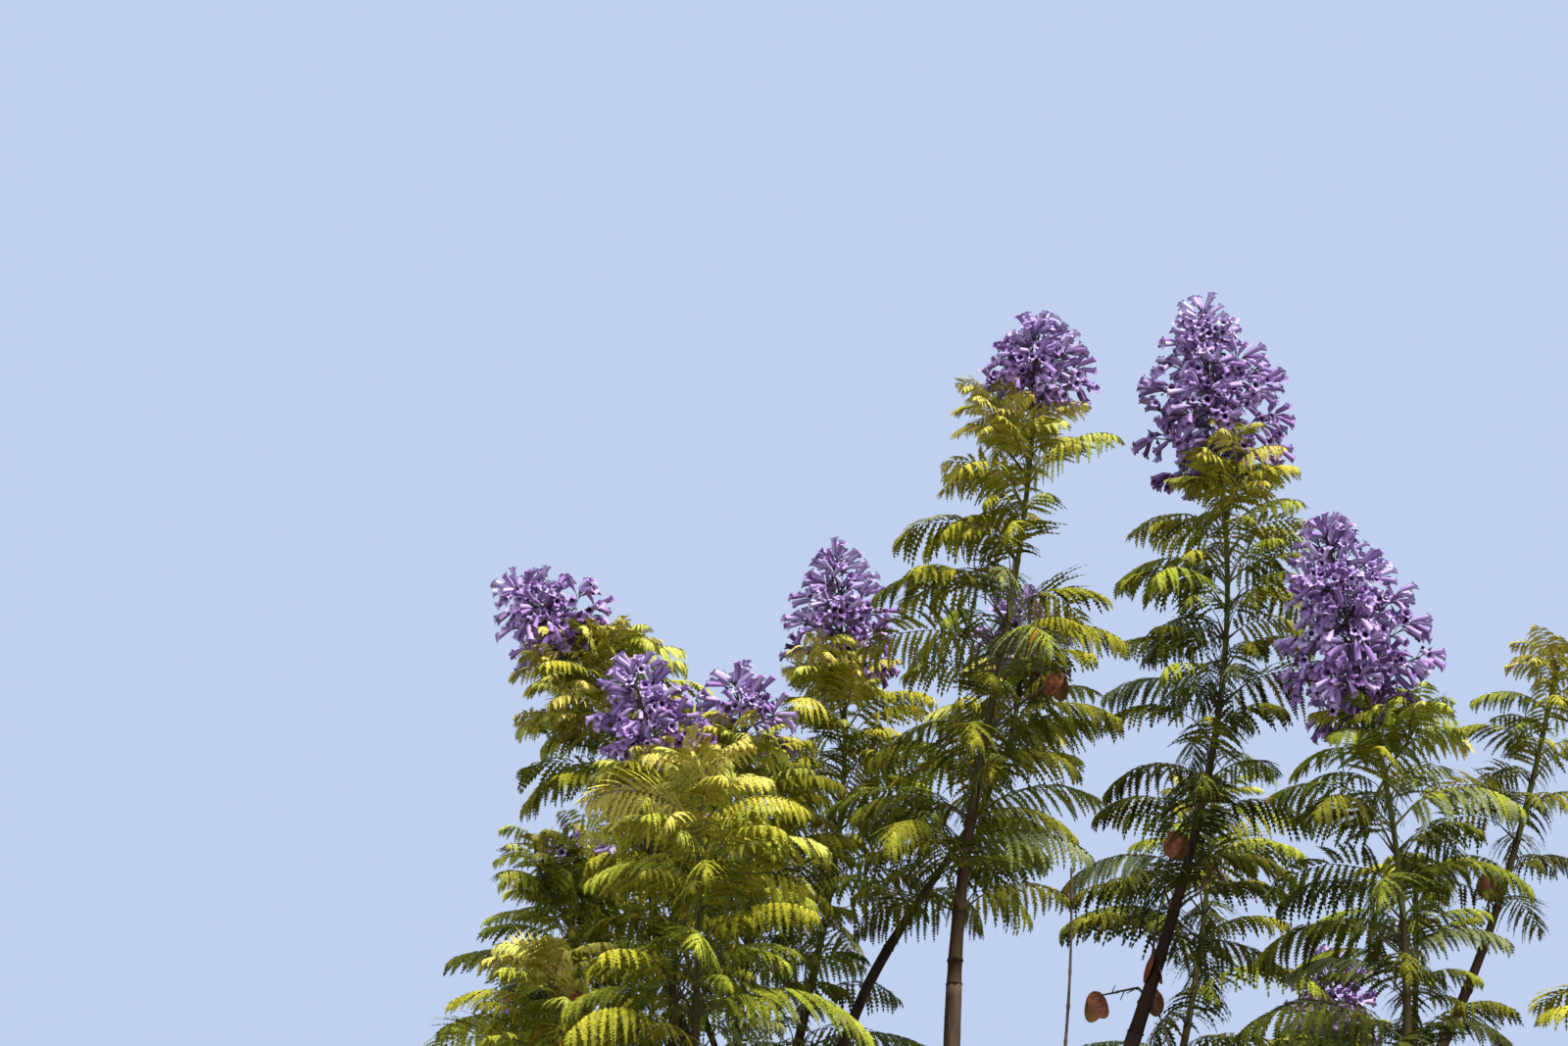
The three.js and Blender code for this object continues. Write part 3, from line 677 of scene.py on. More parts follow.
def side_axes(shoot):
    """Headings and axes of the short shoots beside a panicle's foot."""
    axes = []
    for degrees, below, above, out in shoot.side_shoots or [(360 * (shoot.phase + 0.5), *OTHER_SIDE_SHOOT)]:
        heading = math.radians(degrees)
        outward = level_direction(heading)
        end = shoot.tip + outward * out + UP * above
        axes.append((heading, Curve(below_tip(shoot, below), unit(UP + outward * SIDE_SHOOT.lean), end, UP)))
    return axes


def side_leaves(heading, axis, heaps, random):
    """A short green shoot with pairs of young leaves."""
    line = axis.points(SIDE_SHOOT.steps)
    add_taper(heaps["stems_green"], line, SIDE_SHOOT.radius, SIDE_SHOOT.tip_radius, SIDE_SHOOT.sides)
    leaves = []
    for pair in range(SIDE_SHOOT.pairs):
        share = (pair + 1) / SIDE_SHOOT.pairs
        root = axis.point(blend(SIDE_SHOOT.bare, 1, share))
        for side in (0, TURN / 2):
            turn = heading + (pair + 0.5) * TURN / 4 + side + spread(random, SIDE_SHOOT.turn)
            rise = blend(*SIDE_SHOOT.rises, share) + spread(random, SIDE_SHOOT.rise)
            end = random.uniform(*SIDE_SHOOT.ends)
            leaf = new_leaf(root, turn, SIDE_SHOOT.youth, rise, end, SIDE_SHOOT.breadth)
            leaf.length = blend(*SIDE_SHOOT.lengths, share) * random.uniform(*YOUNG_LENGTHS)
            leaves.append(leaf)
    return leaves


class Heap:
    """Triangles of one kind and colour, gathered from many small shapes into one mesh."""

    def __init__(self):
        self.places = []
        self.faces = []
        self.count = 0

    def add(self, places, faces):
        self.places.append(places.reshape(-1, 3))
        self.faces.append(faces.reshape(-1, 3) + self.count)
        self.count += len(self.places[-1])

    def add_many(self, places, faces):
        """places has one shape in each row, and faces are those of the first."""
        steps = np.arange(len(places))[:, None, None] * places.shape[1]
        self.add(places, faces[None] + steps)


class Heaps(dict):
    """The foliage's heaps by name, and the row of each flower until all are known."""

    def __init__(self):
        super().__init__()
        self.flowers = []

    def __missing__(self, name):
        self[name] = Heap()
        return self[name]


def ring_offsets(line, sides):
    """A ring of directions square to a line at each of its points, without twist."""
    along = unit_rows(np.gradient(line, axis=0))
    side = np.cross(along[0], RING_START)
    across = []
    for direction in along:
        side = unit(side - direction * (side @ direction))
        across.append(side)
    front = np.cross(along, across)
    turns = (np.arange(sides) * TURN / sides)[None, :, None]
    return np.array(across)[:, None] * np.cos(turns) + front[:, None] * np.sin(turns)


def tube_faces(rings, sides, closed=False):
    """Triangles between rings of points. A closed tube has a flat cap over its last ring."""
    faces = []
    for ring in range(rings - 1):
        for k in range(sides):
            a = ring * sides + k
            b = ring * sides + (k + 1) % sides
            faces.append((a, b, b + sides))
            faces.append((a, b + sides, a + sides))
    if closed:
        last = (rings - 1) * sides
        faces += [(last, last + k, last + k + 1) for k in range(1, sides - 1)]
    return np.array(faces)


def add_tube(heap, line, radii, sides, closed=True):
    """A tube round a line of points. Its far end has a flat cap, or is left open under a flower."""
    radii = np.broadcast_to(radii, len(line))[:, None, None]
    places = line[:, None] + ring_offsets(line, sides) * radii
    heap.add(places, tube_faces(len(line), sides, closed))


def add_taper(heap, line, radius, tip_radius, sides):
    add_tube(heap, line, np.linspace(radius, tip_radius, len(line)), sides)


def leaf_stalk(heaps, leaf):
    shares = np.linspace(0, 1, LEAF_STALK.steps)
    size = blend(LEAF_STALK.least_size, 1, min(1, leaf.length / LEAF_LENGTH.old))
    radii = blend(LEAF_STALK.root_radius, LEAF_STALK.tip_radius, shares**LEAF_STALK.taper) * size
    radii[0] *= 1 + LEAF_STALK.swelling
    kind = "leaf_stalks_young" if leaf.youth > LEAF_STALK.young else "leaf_stalks_old"
    add_tube(heaps[kind], midrib(leaf, shares), radii, LEAF_STALK.sides)


def feather_outline(along):
    """How long a feather is at a share of the leafy part of its leaf: longest before the middle."""
    wave = np.sin(math.pi * blend(FEATHER_OUTLINE.start, 1, along))
    return blend(FEATHER_OUTLINE.least, 1, wave**FEATHER_OUTLINE.power)


def feather_places(leaf, size):
    """Where the feathers stand, as shares of the leafy part of the midrib. The two of a pair aren't level."""
    gap = FEATHER.gap * min(1, size) * (1 - FEATHER.young_closer * min(1, leaf.youth))
    pairs = max(FEATHER.fewest, round(leaf.length * (1 - leaf.bare) / gap))
    return (np.repeat(np.arange(pairs), 2) + np.tile(FEATHER.pair_places, pairs)) / pairs


def feathers_of(leaf, shoot, random):
    """The feathers of a leaf as rows: pairs on both sides of its midrib, and one at its end."""
    youth = min(1, leaf.youth)
    size = min(blend(LEAFLET_SCALE.least, 1, leaf.length / LEAFLET_SCALE.full_leaf), LEAFLET_SCALE.most)
    along = feather_places(leaf, size)
    sides = np.tile(random.permutation((1.0, -1.0)), len(along) // 2)
    shares = blend(leaf.bare, 1, along)
    angles = blend(FEATHER.first_angle, FEATHER.last_angle, along)
    angles = np.radians(angles + random.normal(0, FEATHER.spread, len(along)))[:, None]
    onward = midrib_direction(leaf, shares)
    roll = random.normal(0, LEAF_TWIST.roll)
    side = np.cross(leaf.heading, UP) * math.cos(roll) + UP * math.sin(roll)
    out = onward * np.cos(angles) + side * np.sin(angles) * sides[:, None]
    lengths = leaf.length * leaf.breadth**0.5 * FEATHER.length * feather_outline(along)
    lengths *= 1 + FEATHER.young_longer * youth
    lengths *= random.uniform(*FEATHER.lengths, len(along))

    shares = np.append(shares, 1)
    count = len(shares)
    droop = blend(1, FEATHER_DROOP.young_share, youth) * random.uniform(*FEATHER_DROOP.spread)
    # Lighter towards the shoot's tip and the leaf's end: young leaves' own yellower colour, and painted
    # sunlight on the crown's top and outer ends
    outer = (LEAF_TONE_AND_LIGHT.outer + LEAF_TONE_AND_LIGHT.young_outer * leaf.youth) * shares**LEAF_TONE_AND_LIGHT.outer_power
    warmth = LEAF_TONE_AND_LIGHT.least + shoot.warmer + LEAF_TONE_AND_LIGHT.near_tip * math.exp(-leaf.below / LEAF_TONE_AND_LIGHT.fade)
    warmth += random.normal(0, LEAF_TONE_AND_LIGHT.by_leaf)
    droop = droop * random.uniform(*FEATHER_DROOP.spread, count)
    lift = random.normal(LEAFLET_LIFT.mean, LEAFLET_LIFT.by_leaf)
    lift = lift + random.normal(0, LEAFLET_LIFT.by_feather, count)
    return Sizes(
        base=midrib(leaf, shares),
        out=np.vstack([out, midrib_direction(leaf, 1)]),
        across=np.vstack([onward, side]),
        length=np.append(lengths, leaf.length * FEATHER.length * FEATHER.last),
        droop=droop,
        size=np.full(count, size),
        lift=lift,
        warmth=warmth + outer + random.normal(0, LEAF_TONE_AND_LIGHT.by_feather, count),
        grey=np.full(count, random.random() < GREY.chance * (1 - youth)),
        rust=random.random(count) < RUST_CHANCE,
        greener=np.full(count, random.random() < shoot.greener),
        leaflet_gap=np.full(count, LEAFLET.gap * size * leaf.coarseness),
    )


def join_rows(rows):
    return Sizes(**{key: np.concatenate([getattr(row, key) for row in rows]) for key in vars(rows[0])})


class Feathers:
    """Every feather of the crown. Each is an arc from its own direction down towards the ground."""

    def __init__(self, rows):
        self.rows = rows
        level = (rows.out * -UP).sum(1, keepdims=True)
        self.down = unit_rows(-UP - rows.out * level)
        self.start = FEATHER_DROOP.root * rows.droop
        self.turn = (FEATHER_DROOP.end - FEATHER_DROOP.root) * rows.droop

    def angle(self, which, share):
        return (self.start[which] + self.turn[which] * share)[:, None]

    def direction(self, which, share):
        angle = self.angle(which, share)
        return self.rows.out[which] * np.cos(angle) + self.down[which] * np.sin(angle)

    def point(self, which, share):
        angle = self.angle(which, share)
        start = self.start[which][:, None]
        size = (self.rows.length[which] / self.turn[which])[:, None]
        outward = self.rows.out[which] * (np.sin(angle) - np.sin(start))
        downward = self.down[which] * (np.cos(start) - np.cos(angle))
        return self.rows.base[which] + size * (outward + downward)

    def sideways(self, which, directions):
        """Square to the feather, in the plane of its leaf."""
        across = self.rows.across[which]
        return unit_rows(across - directions * (across * directions).sum(1, keepdims=True))


def leaflet_rows(rows):
    """Which feather each leaflet stands on, at what share of it, on which side, and how wide its foot is."""
    counts = np.maximum(LEAFLET.fewest, np.round(rows.length / rows.leaflet_gap)).astype(int)
    which = np.repeat(np.arange(len(counts)), counts)
    order = np.arange(len(which)) - np.repeat(np.cumsum(counts) - counts, counts)
    share = (order + LEAFLET.first) / (counts[which] + LEAFLET.spare)
    ends = np.arange(len(counts))
    which = np.concatenate([which, which, ends])
    return (
        which,
        np.concatenate([share, share, np.ones(len(ends))]),
        np.repeat((1.0, -1.0, 0.0), (len(share), len(share), len(ends))),
        LEAFLET.foot * (rows.length / counts)[which],
    )


def leaflet_blades(feathers, which, share, side, foot, random):
    """The corners of each leaflet, whose foot overlaps the next one's, so that they join into a feather."""
    rows = feathers.rows
    count = len(which)
    base = feathers.point(which, share)
    onward = feathers.direction(which, share)
    sideways = feathers.sideways(which, onward)
    normal = np.cross(onward, sideways)
    normal *= np.where(normal[:, 2:] < 0, -1, 1)

    on_side = np.abs(side)[:, None]
    angle = np.radians(LEAFLET.angle + random.normal(0, LEAFLET.spread, count))[:, None] * on_side
    lift = (rows.lift[which] + random.normal(0, LEAFLET_LIFT.by_leaflet, count))[:, None]
    outward = unit_rows(sideways * side[:, None] + normal * lift * on_side + sideways * (1 - on_side))
    direction = onward * np.cos(angle) + outward * np.sin(angle)
    wave = np.sin(math.pi * (LEAFLET_OUTLINE.start + LEAFLET_OUTLINE.run * share) ** LEAFLET_OUTLINE.power)
    outline = blend(LEAFLET_OUTLINE.least, 1, wave)
    foot = (foot * blend(LEAFLET.least_foot, 1, outline))[:, None]
    along = np.where(on_side > 0, onward, sideways * LEAFLET.end_width) * foot
    length = LEAFLET.length * rows.size[which] * outline * random.uniform(*LEAFLET.lengths, count)
    length = (length * np.where(side == 0, LEAFLET.end_length, 1))[:, None]
    tip = base + direction * length + along * LEAFLET.tip * on_side
    return np.stack([base - along, base + along, tip], axis=1)


def shade_numbers(shade, colours):
    """The number of a colour for each shade from 0 to 1."""
    return np.clip((shade * len(colours)).astype(int), 0, len(colours) - 1)


def add_leaflets(heaps, feathers, random):
    rows = feathers.rows
    which, share, side, foot = leaflet_rows(rows)
    blades = leaflet_blades(feathers, which, share, side, foot, random)
    # Painted shade: leaflets darker towards the feather's hanging end and lighter near its root
    warmth = rows.warmth[which] + LEAF_TONE_AND_LIGHT.root * (LEAF_TONE_AND_LIGHT.middle - share)
    warmth += random.normal(0, LEAF_TONE_AND_LIGHT.by_leaflet, len(which))
    shade = shade_numbers(warmth, LEAF_COLOURS)
    grey = rows.grey[which] & (shade < GREY.shades)
    rust = rows.rust[which]
    greener = rows.greener[which]
    faces = np.array([(0, 1, 2)])
    for number, (name, *_) in enumerate(LEAF_COLOURS):
        chosen = (shade == number) & ~grey & ~rust
        heaps[f"leaflets_{name}"].add_many(blades[chosen & ~greener], faces)
        heaps[f"leaflets_{name}_greener"].add_many(blades[chosen & greener], faces)
    heaps[GREY_LEAFLETS[0]].add_many(blades[grey & ~rust], faces)
    heaps[RUST_LEAFLETS[0]].add_many(blades[rust], faces)


def add_stem(heaps, shoot):
    """A green tip and a browning foot, with a knot where each pair of leaves stands."""
    knots = [0, *shoot.nodes]
    while knots[-1] + NODE_GAP.longest < shoot.length:
        knots.append(knots[-1] + NODE_GAP.longest)
    knots.append(shoot.length)
    for upper, lower in zip(knots, knots[1:]):
        middle = (upper + lower) / 2
        name = next(name for name, _, until in STEM_COLOURS if middle < until)
        below = blend(upper, lower, KNOT_PLACES)
        radii = blend(STEM_TIP_RADIUS, shoot.foot_radius, (below / shoot.length) ** STEM_SWELL) * KNOT_SIZES
        add_tube(heaps[name], below_tip(shoot, below), radii, STEM_SIDES)


def stacked(rings, sides):
    """A stack of level rings, each given as height and radius: its points and faces."""
    turns = np.arange(sides) * TURN / sides
    circle = np.column_stack([np.cos(turns), np.sin(turns), np.zeros(sides)])
    places = np.vstack([circle * radius + UP * height for height, radius in rings])
    return places, tube_faces(len(rings), sides)


def flower_shape():
    """The trumpet is slightly bent, and each lobe is three triangles that curl back."""
    places, faces = stacked(FLOWER_RINGS, FLOWER_SIDES)
    mouth = len(places) - FLOWER_SIDES
    mouth_height = FLOWER_RINGS[-1][0]
    step = TURN / FLOWER_SIDES
    for k in range(FLOWER_SIDES):
        middle = (k + 0.5) * step
        low, high, tip = range(len(places), len(places) + 3)
        for turn, radius, height in (
            (middle - step * LOBE.width / 2, LOBE.spread, LOBE.rise),
            (middle + step * LOBE.width / 2, LOBE.spread, LOBE.rise),
            (middle, LOBE.reach, LOBE.curl),
        ):
            places = np.vstack([places, level_direction(turn) * radius + UP * (mouth_height + height)])
        first, second = mouth + k, mouth + (k + 1) % FLOWER_SIDES
        faces = np.vstack([faces, (first, second, high), (first, high, low), (low, high, tip)])
    places[:, 0] += FLOWER_BEND * places[:, 2] ** 2
    return places, faces


def bud_shape():
    places, faces = stacked(BUD_RINGS, BUD_SIDES)
    tip = len(places)
    last = tip - BUD_SIDES
    cone = [(last + k, last + (k + 1) % BUD_SIDES, tip) for k in range(BUD_SIDES)]
    return np.vstack([places, UP * BUD_TIP]), np.vstack([faces, cone])


def panicle_reach(share):
    """How wide a panicle is at a share of its height, as in the source."""
    return np.sin(math.pi * np.clip(share, 0, 1) ** PANICLE_OUTLINE.peak) ** PANICLE_OUTLINE.power


def branch_length(shoot, height, rise):
    """The length at which a branch's flowers reach the outline of their panicle."""
    length, radius = shoot.panicle
    reaches = np.arange(BRANCH.shortest, radius * BRANCH.longest, BRANCH.search_step)
    heights = height + (reaches + FLOWER_ROOM) * math.sin(rise)
    level = (reaches + FLOWER_ROOM) * math.cos(rise)
    inside = (heights < length) & (level < radius * panicle_reach(heights / length))
    return reaches[inside][-1] if inside.any() else reaches[0]


def square_to(direction, turn):
    """A direction square to another, as the source turns it."""
    side = unit(place((1, 0, 0)) - direction * direction[0])
    return side * math.cos(turn) + np.cross(direction, side) * math.sin(turn)


def flower_stalk(heaps, start, end):
    add_tube(heaps["flower_stalks"], np.array([start, end]), PEDICEL.radius, PEDICEL.sides, closed=False)


def add_cyme(heaps, base, direction, share, count, random):
    """A few flowers on short stalks from one point of a branch. The lower ones nod."""
    for _ in range(count):
        aim = direction * CYME.onward + random.normal(0, CYME.spread, 3) + UP * blend(*CYME.rises, share)
        aim = unit(aim)
        end = base + aim * random.uniform(*PEDICEL.lengths)
        flower_stalk(heaps, base, end)
        kind = random.choice(list(CYME_KINDS), p=list(CYME_KINDS.values()))
        nod = blend(random.uniform(*PEDICEL.low_nods), random.uniform(*PEDICEL.high_nods), share)
        heaps.flowers.append((kind, end, unit(aim + UP * nod), share, random.random(3)))


def dress_branch(heaps, curve, reach, share, onward, kept_clear, random):
    """Cymes along a branch, each but the last on a twig to one side or the other."""
    cymes = max(1, round(reach / CYME.gap))
    for number in range(cymes):
        along = (number + 1) / cymes
        aim = curve.direction(along)
        spot = curve.point(along)
        if along < 1:
            sideways = unit(np.cross(aim, onward)) * (-1) ** number
            aim = unit(aim * SIDE_TWIG.onward + sideways + UP * random.uniform(*SIDE_TWIG.rises))
            twig = random.uniform(*SIDE_TWIG.lengths) * min(1, along * reach / SIDE_TWIG.full_reach)
            flower_stalk(heaps, spot, spot + aim * twig)
            spot = spot + aim * twig
        if np.linalg.norm(kept_clear - spot, axis=1).min() > SIDE_CLEARING:
            add_cyme(heaps, spot, aim, share, CYME.flowers if along < 1 else CYME.end_flowers, random)


def grow_panicle(heaps, shoot, random):
    """Crossed pairs of branches from a bare axis, each with cymes that reach the panicle's outline."""
    length = shoot.panicle[0]
    onward = shoot.tip_direction
    kept_clear = np.vstack([axis.points(CLEARING_STEPS) for _, axis in side_axes(shoot)])
    nodes = round(length * BRANCH.run / BRANCH.gap)
    axis_length = length - FLOWER_ROOM * AXIS.end_rooms
    axis = shoot.tip + np.outer(np.linspace(-AXIS.sunk, axis_length, AXIS.points), onward)
    add_taper(heaps["panicle_stalks"], axis, AXIS.root_radius, AXIS.tip_radius, AXIS.sides)
    for node in range(nodes):
        share = blend(shoot.panicle_start, 1, (node + BRANCH.first) / nodes)
        start = shoot.tip + onward * share * axis_length
        for side in (0, TURN / 2):
            turn = shoot.phase + node * TURN / 4 + side + spread(random, BRANCH.turn)
            rise = math.radians(blend(*BRANCH.rises, share) + spread(random, BRANCH.rise))
            direction = square_to(onward, turn) * math.cos(rise) + onward * math.sin(rise)
            reach = branch_length(shoot, share * axis_length, rise) * random.uniform(*BRANCH.lengths)
            upturned = unit(direction + onward * BRANCH.upturn)
            curve = Curve(start, upturned, start + direction * reach, direction)
            line = curve.points(BRANCH.steps)
            add_taper(heaps["panicle_stalks"], line, BRANCH.root_radius, BRANCH.tip_radius, BRANCH.sides)
            dress_branch(heaps, curve, reach, share, onward, kept_clear, random)
    add_cyme(heaps, axis[-1], onward, 1, CYME.top_flowers, random)


def standing(shape, bases, directions, turns, sizes):
    """A shape set up at each base along its direction. Its X side faces down before it is turned."""
    downward = -UP + place(FLOWER_SAG)
    side = unit_rows(downward - directions * (directions @ downward)[:, None])
    front = np.cross(directions, side)
    turned = side * np.cos(turns)[:, None] + front * np.sin(turns)[:, None]
    frames = np.stack([turned, np.cross(directions, turned), directions], axis=1)
    return bases[:, None] + np.einsum("vk,nkj->nvj", shape, frames) * sizes[:, None, None]


def add_blossom(heaps):
    """The flowers, buds and calyces of all panicles."""
    kinds, bases, directions, heights, chances = (np.array(column) for column in zip(*heaps.flowers))
    turns = (chances[:, 0] - 0.5) * FLOWER_SIZE.turns
    sizes = FLOWER_SIZE.least + FLOWER_SIZE.more * chances[:, 1]
    # Painted shade: lower flowers take the darker, bluer colours
    painted_shade_and_tone = blend(FLOWER_SHADE.low, FLOWER_SHADE.high, heights) + FLOWER_SHADE.spread * (chances[:, 2] - 0.5)
    shade = shade_numbers(painted_shade_and_tone, FLOWER_COLOURS)

    def add(name, shape, chosen):
        places, faces = shape
        shapes = standing(places, bases[chosen], directions[chosen], turns[chosen], sizes[chosen])
        heaps[name].add_many(shapes, faces)

    for number, (name, _) in enumerate(FLOWER_COLOURS):
        add(name, flower_shape(), (kinds == "flower") & (shade == number))
    add("flower_buds", bud_shape(), kinds == "bud")
    add("calyces", stacked(CALYX_RINGS, CALYX_SIDES), slice(None))


def bark_noise(point, layer):
    x, y, z = point
    return noise.noise(Vector((x / layer.across, y / layer.across, z / layer.along + layer.shift)))


def furrows(points):
    """How far the bark stands out or lies back at each point: long furrows with a fine grain."""
    values = []
    for point in points:
        long = bark_noise(point, BARK_WAVES)
        ridge = 1 - abs(bark_noise(point, BARK_RIDGES)) * BARK_RIDGES.sharpness
        grain = bark_noise(point, BARK_GRAIN)
        values.append(BARK_WAVES.share * long + BARK_RIDGES.share * ridge + BARK_GRAIN.share * grain)
    return np.array(values)


def add_bark(heap, centres, rings, depth):
    """Rings of points joined into a skin, moved in and out by the bark's relief."""
    rings = np.array(rings)
    count, sides = rings.shape[:2]
    away = unit_rows(rings - np.array(centres)[:, None])
    relief = furrows(rings.reshape(-1, 3)).reshape(count, sides, 1) * np.array(depth)[:, None, None]
    heap.add(rings + away * relief, tube_faces(count, sides, closed=True))


def add_trunk(heap, leader_radius):
    """Root flare, five weak buttresses, and a top that narrows to the leading bough."""
    steps = round(TRUNK.height / BARK.trunk_step)
    turns = np.arange(BARK.trunk_sides) * TURN / BARK.trunk_sides
    circle = np.column_stack([np.cos(turns), np.sin(turns), np.zeros(len(turns))])
    centres = TRUNK_AXIS.points(steps)
    rings = []
    depths = []
    for share, centre in zip(np.linspace(0, 1, steps + 1), centres):
        flare = math.exp(-centre[2] / TRUNK.flare_height)
        radius = blend(TRUNK.base_radius, TRUNK.top_radius, share) + flare * TRUNK.flare_radius
        near_top = max(0, 1 - (TRUNK.height - centre[2]) / TRUNK.narrowing)
        radius = blend(radius, leader_radius, near_top**2)
        wave = 1 + TRUNK.buttress_share * flare * np.cos(TRUNK.buttresses * turns)
        rings.append(centre + circle * (radius * wave)[:, None])
        depths.append(BARK.relief * (1 + flare) * min(1, centre[2] / BARK.smooth_foot))
    add_bark(heap, centres, rings, depths)


def add_bough(heap, shoot):
    """A tapering limb with a collar where it leaves the trunk or another bough."""
    length = shoot.bough_axis.length()
    shares = np.linspace(0, 1, round(length / BARK.bough_step) + 1)
    line = shoot.bough_axis.point(shares)
    radii = blend(shoot.start_radius, shoot.foot_radius, shares)
    collar = np.exp(-shares * length / (shoot.start_radius * BARK.collar_length))
    radii = radii * (1 + BARK.collar * collar * (shoot.at != 1))
    sides = int(np.clip(shoot.start_radius * BARK.side_share, *BARK.bough_sides))
    depth = np.clip(radii * BARK.relief_share, BARK.least_relief, BARK.relief)
    add_bark(heap, line, line[:, None] + ring_offsets(line, sides) * radii[:, None, None], depth)


def knotted(line, rod, random):
    """Points and radii of a thin rod with a knot at about every gap."""
    length = np.linalg.norm(np.diff(line, axis=0), axis=1).sum()
    knots = max(2, round(length / rod.knot_gap))
    shares = []
    radii = []
    for knot in range(knots):
        for offset, factor in ((0, 1 + rod.swelling), (KNOT.after, 1), (KNOT.before, KNOT.neck)):
            share = (knot + offset) / knots
            shares.append(share)
            radius = blend(rod.radius, rod.tip_radius, share) * factor
            radii.append(radius * (1 + spread(random, KNOT.spread)))
    shares.append(1)
    radii.append(rod.tip_radius)
    travelled = np.linspace(0, 1, len(line))
    places = np.column_stack([np.interp(shares, travelled, line[:, axis]) for axis in range(3)])
    return places, np.array(radii)


def valve(middle, face, opening, random):
    """One woody half of a pod: a shallow dish that turns away from the other about its upper edge."""
    hinge = -UP
    across = np.cross(face, hinge)
    bulge = POD.thickness * POD.bulge
    places = [middle + face * bulge]
    for share in np.arange(1, POD.rings + 1) / POD.rings:
        for turn in np.arange(POD.sides) * TURN / POD.sides:
            wave = 1 + POD.wave * math.sin(POD.waves * turn + random.random() * POD.wave_spread) * share
            flat = hinge * math.cos(turn) * POD.length + across * math.sin(turn) * POD.width
            lift = bulge * (1 - share**2) + POD.warp * share * math.sin(POD.warps * turn + POD.warp_start)
            places.append(middle + flat * POD.radius * share * wave + face * lift)
    places = np.array(places)
    offset = places - (middle - hinge * POD.radius)
    level = offset @ hinge
    depth = offset @ face
    places += np.outer(level * (math.cos(opening) - 1) - depth * math.sin(opening), hinge)
    places += np.outer(level * math.sin(opening) + depth * (math.cos(opening) - 1), face)
    centre = [(0, 1 + k, 1 + (k + 1) % POD.sides) for k in range(POD.sides)]
    return places, np.vstack([centre, tube_faces(POD.rings, POD.sides)[:, ::-1] + 1])


def add_pod(heaps, spot, turn, random):
    """Two round woody valves with paler linings, which hang from the stalk."""
    middle = spot - UP * POD.radius * POD.hang
    opening = random.uniform(*POD.gapes)
    for face in (level_direction(turn), -level_direction(turn)):
        places, faces = valve(middle, face, opening, random)
        heaps["pods"].add(places, faces)
        heaps["pod_linings"].add(places - face * POD.lining, faces[:, ::-1])


def add_stalks(heaps, shoot, random):
    """A shoot's stalks of last year's flowers, with short twigs, and pods that face different ways."""
    for number, row in enumerate(row for row in STALKS if row["on"] == shoot.name):
        root = below_tip(shoot, row["below"])
        end = place(row["end"])
        axis = Curve(root, UP, end, unit(end - root))
        places, radii = knotted(axis.points(STALK.steps), STALK, random)
        add_tube(heaps["fruit_stalks"], places, radii, STALK.sides)
        for share in STALK_TWIG.places:
            start = axis.point(share)
            aim = unit(random.normal(0, 1, 3) + UP * STALK_TWIG.lift)
            twig = np.array([start, start + aim * random.uniform(*STALK_TWIG.lengths)])
            add_tube(heaps["fruit_stalks"], twig, STALK_TWIG.radii, STALK_TWIG.sides)
        for share in row["pods"]:
            add_pod(heaps, axis.point(share), number + share, random)


def dead_rod(shoots):
    """A bare rod with knots."""
    rod = Heap()
    parent = next(shoot for shoot in shoots if shoot.name == DEAD_SHOOT.origin)
    root = parent.bough_axis.point(DEAD_SHOOT.at)
    axis = Curve(root, unit(place(DEAD_SHOOT.heading)), place(DEAD_SHOOT.top), UP)
    places, radii = knotted(axis.points(ROD.steps), ROD, np.random.default_rng(SEEDS.rod))
    add_tube(rod, places, radii, ROD.sides)
    return rod


def plain(name, colour, roughness, shine):
    material = bpy.data.materials.new(name)
    material.use_nodes = True
    shader = material.node_tree.nodes["Principled BSDF"]
    shader.inputs["Base Color"].default_value = colour
    shader.inputs["Roughness"].default_value = roughness
    shader.inputs["Specular IOR Level"].default_value = shine
    return material


def grained(name):
    """A colour that varies along a stretched noise, with the same noise as relief."""
    dark, light, roughness, scale, stretch, bump = GRAINED[name]
    material = plain(name, light, roughness, GRAIN.shine)
    nodes = material.node_tree.nodes
    links = material.node_tree.links
    shader = nodes["Principled BSDF"]
    coordinates = nodes.new("ShaderNodeTexCoord")
    mapping = nodes.new("ShaderNodeMapping")
    mapping.inputs["Scale"].default_value = (1, 1, stretch)
    grain = nodes.new("ShaderNodeTexNoise")
    grain.inputs["Scale"].default_value = scale
    grain.inputs["Detail"].default_value = GRAIN.detail
    grain.inputs["Roughness"].default_value = GRAIN.roughness
    ramp = nodes.new("ShaderNodeValToRGB")
    stops = ((GRAIN.dark_until, dark), (GRAIN.light_from, light))
    for element, (position, colour) in zip(ramp.color_ramp.elements, stops):
        element.position = position
        element.color = colour
    relief = nodes.new("ShaderNodeBump")
    relief.inputs["Strength"].default_value = bump
    relief.inputs["Distance"].default_value = GRAIN.depth
    links.new(coordinates.outputs["Object"], mapping.inputs["Vector"])
    links.new(mapping.outputs["Vector"], grain.inputs["Vector"])
    links.new(grain.outputs["Fac"], ramp.inputs["Fac"])
    links.new(ramp.outputs["Color"], shader.inputs["Base Color"])
    links.new(grain.outputs["Fac"], relief.inputs["Height"])
    links.new(relief.outputs["Normal"], shader.inputs["Normal"])
    return material


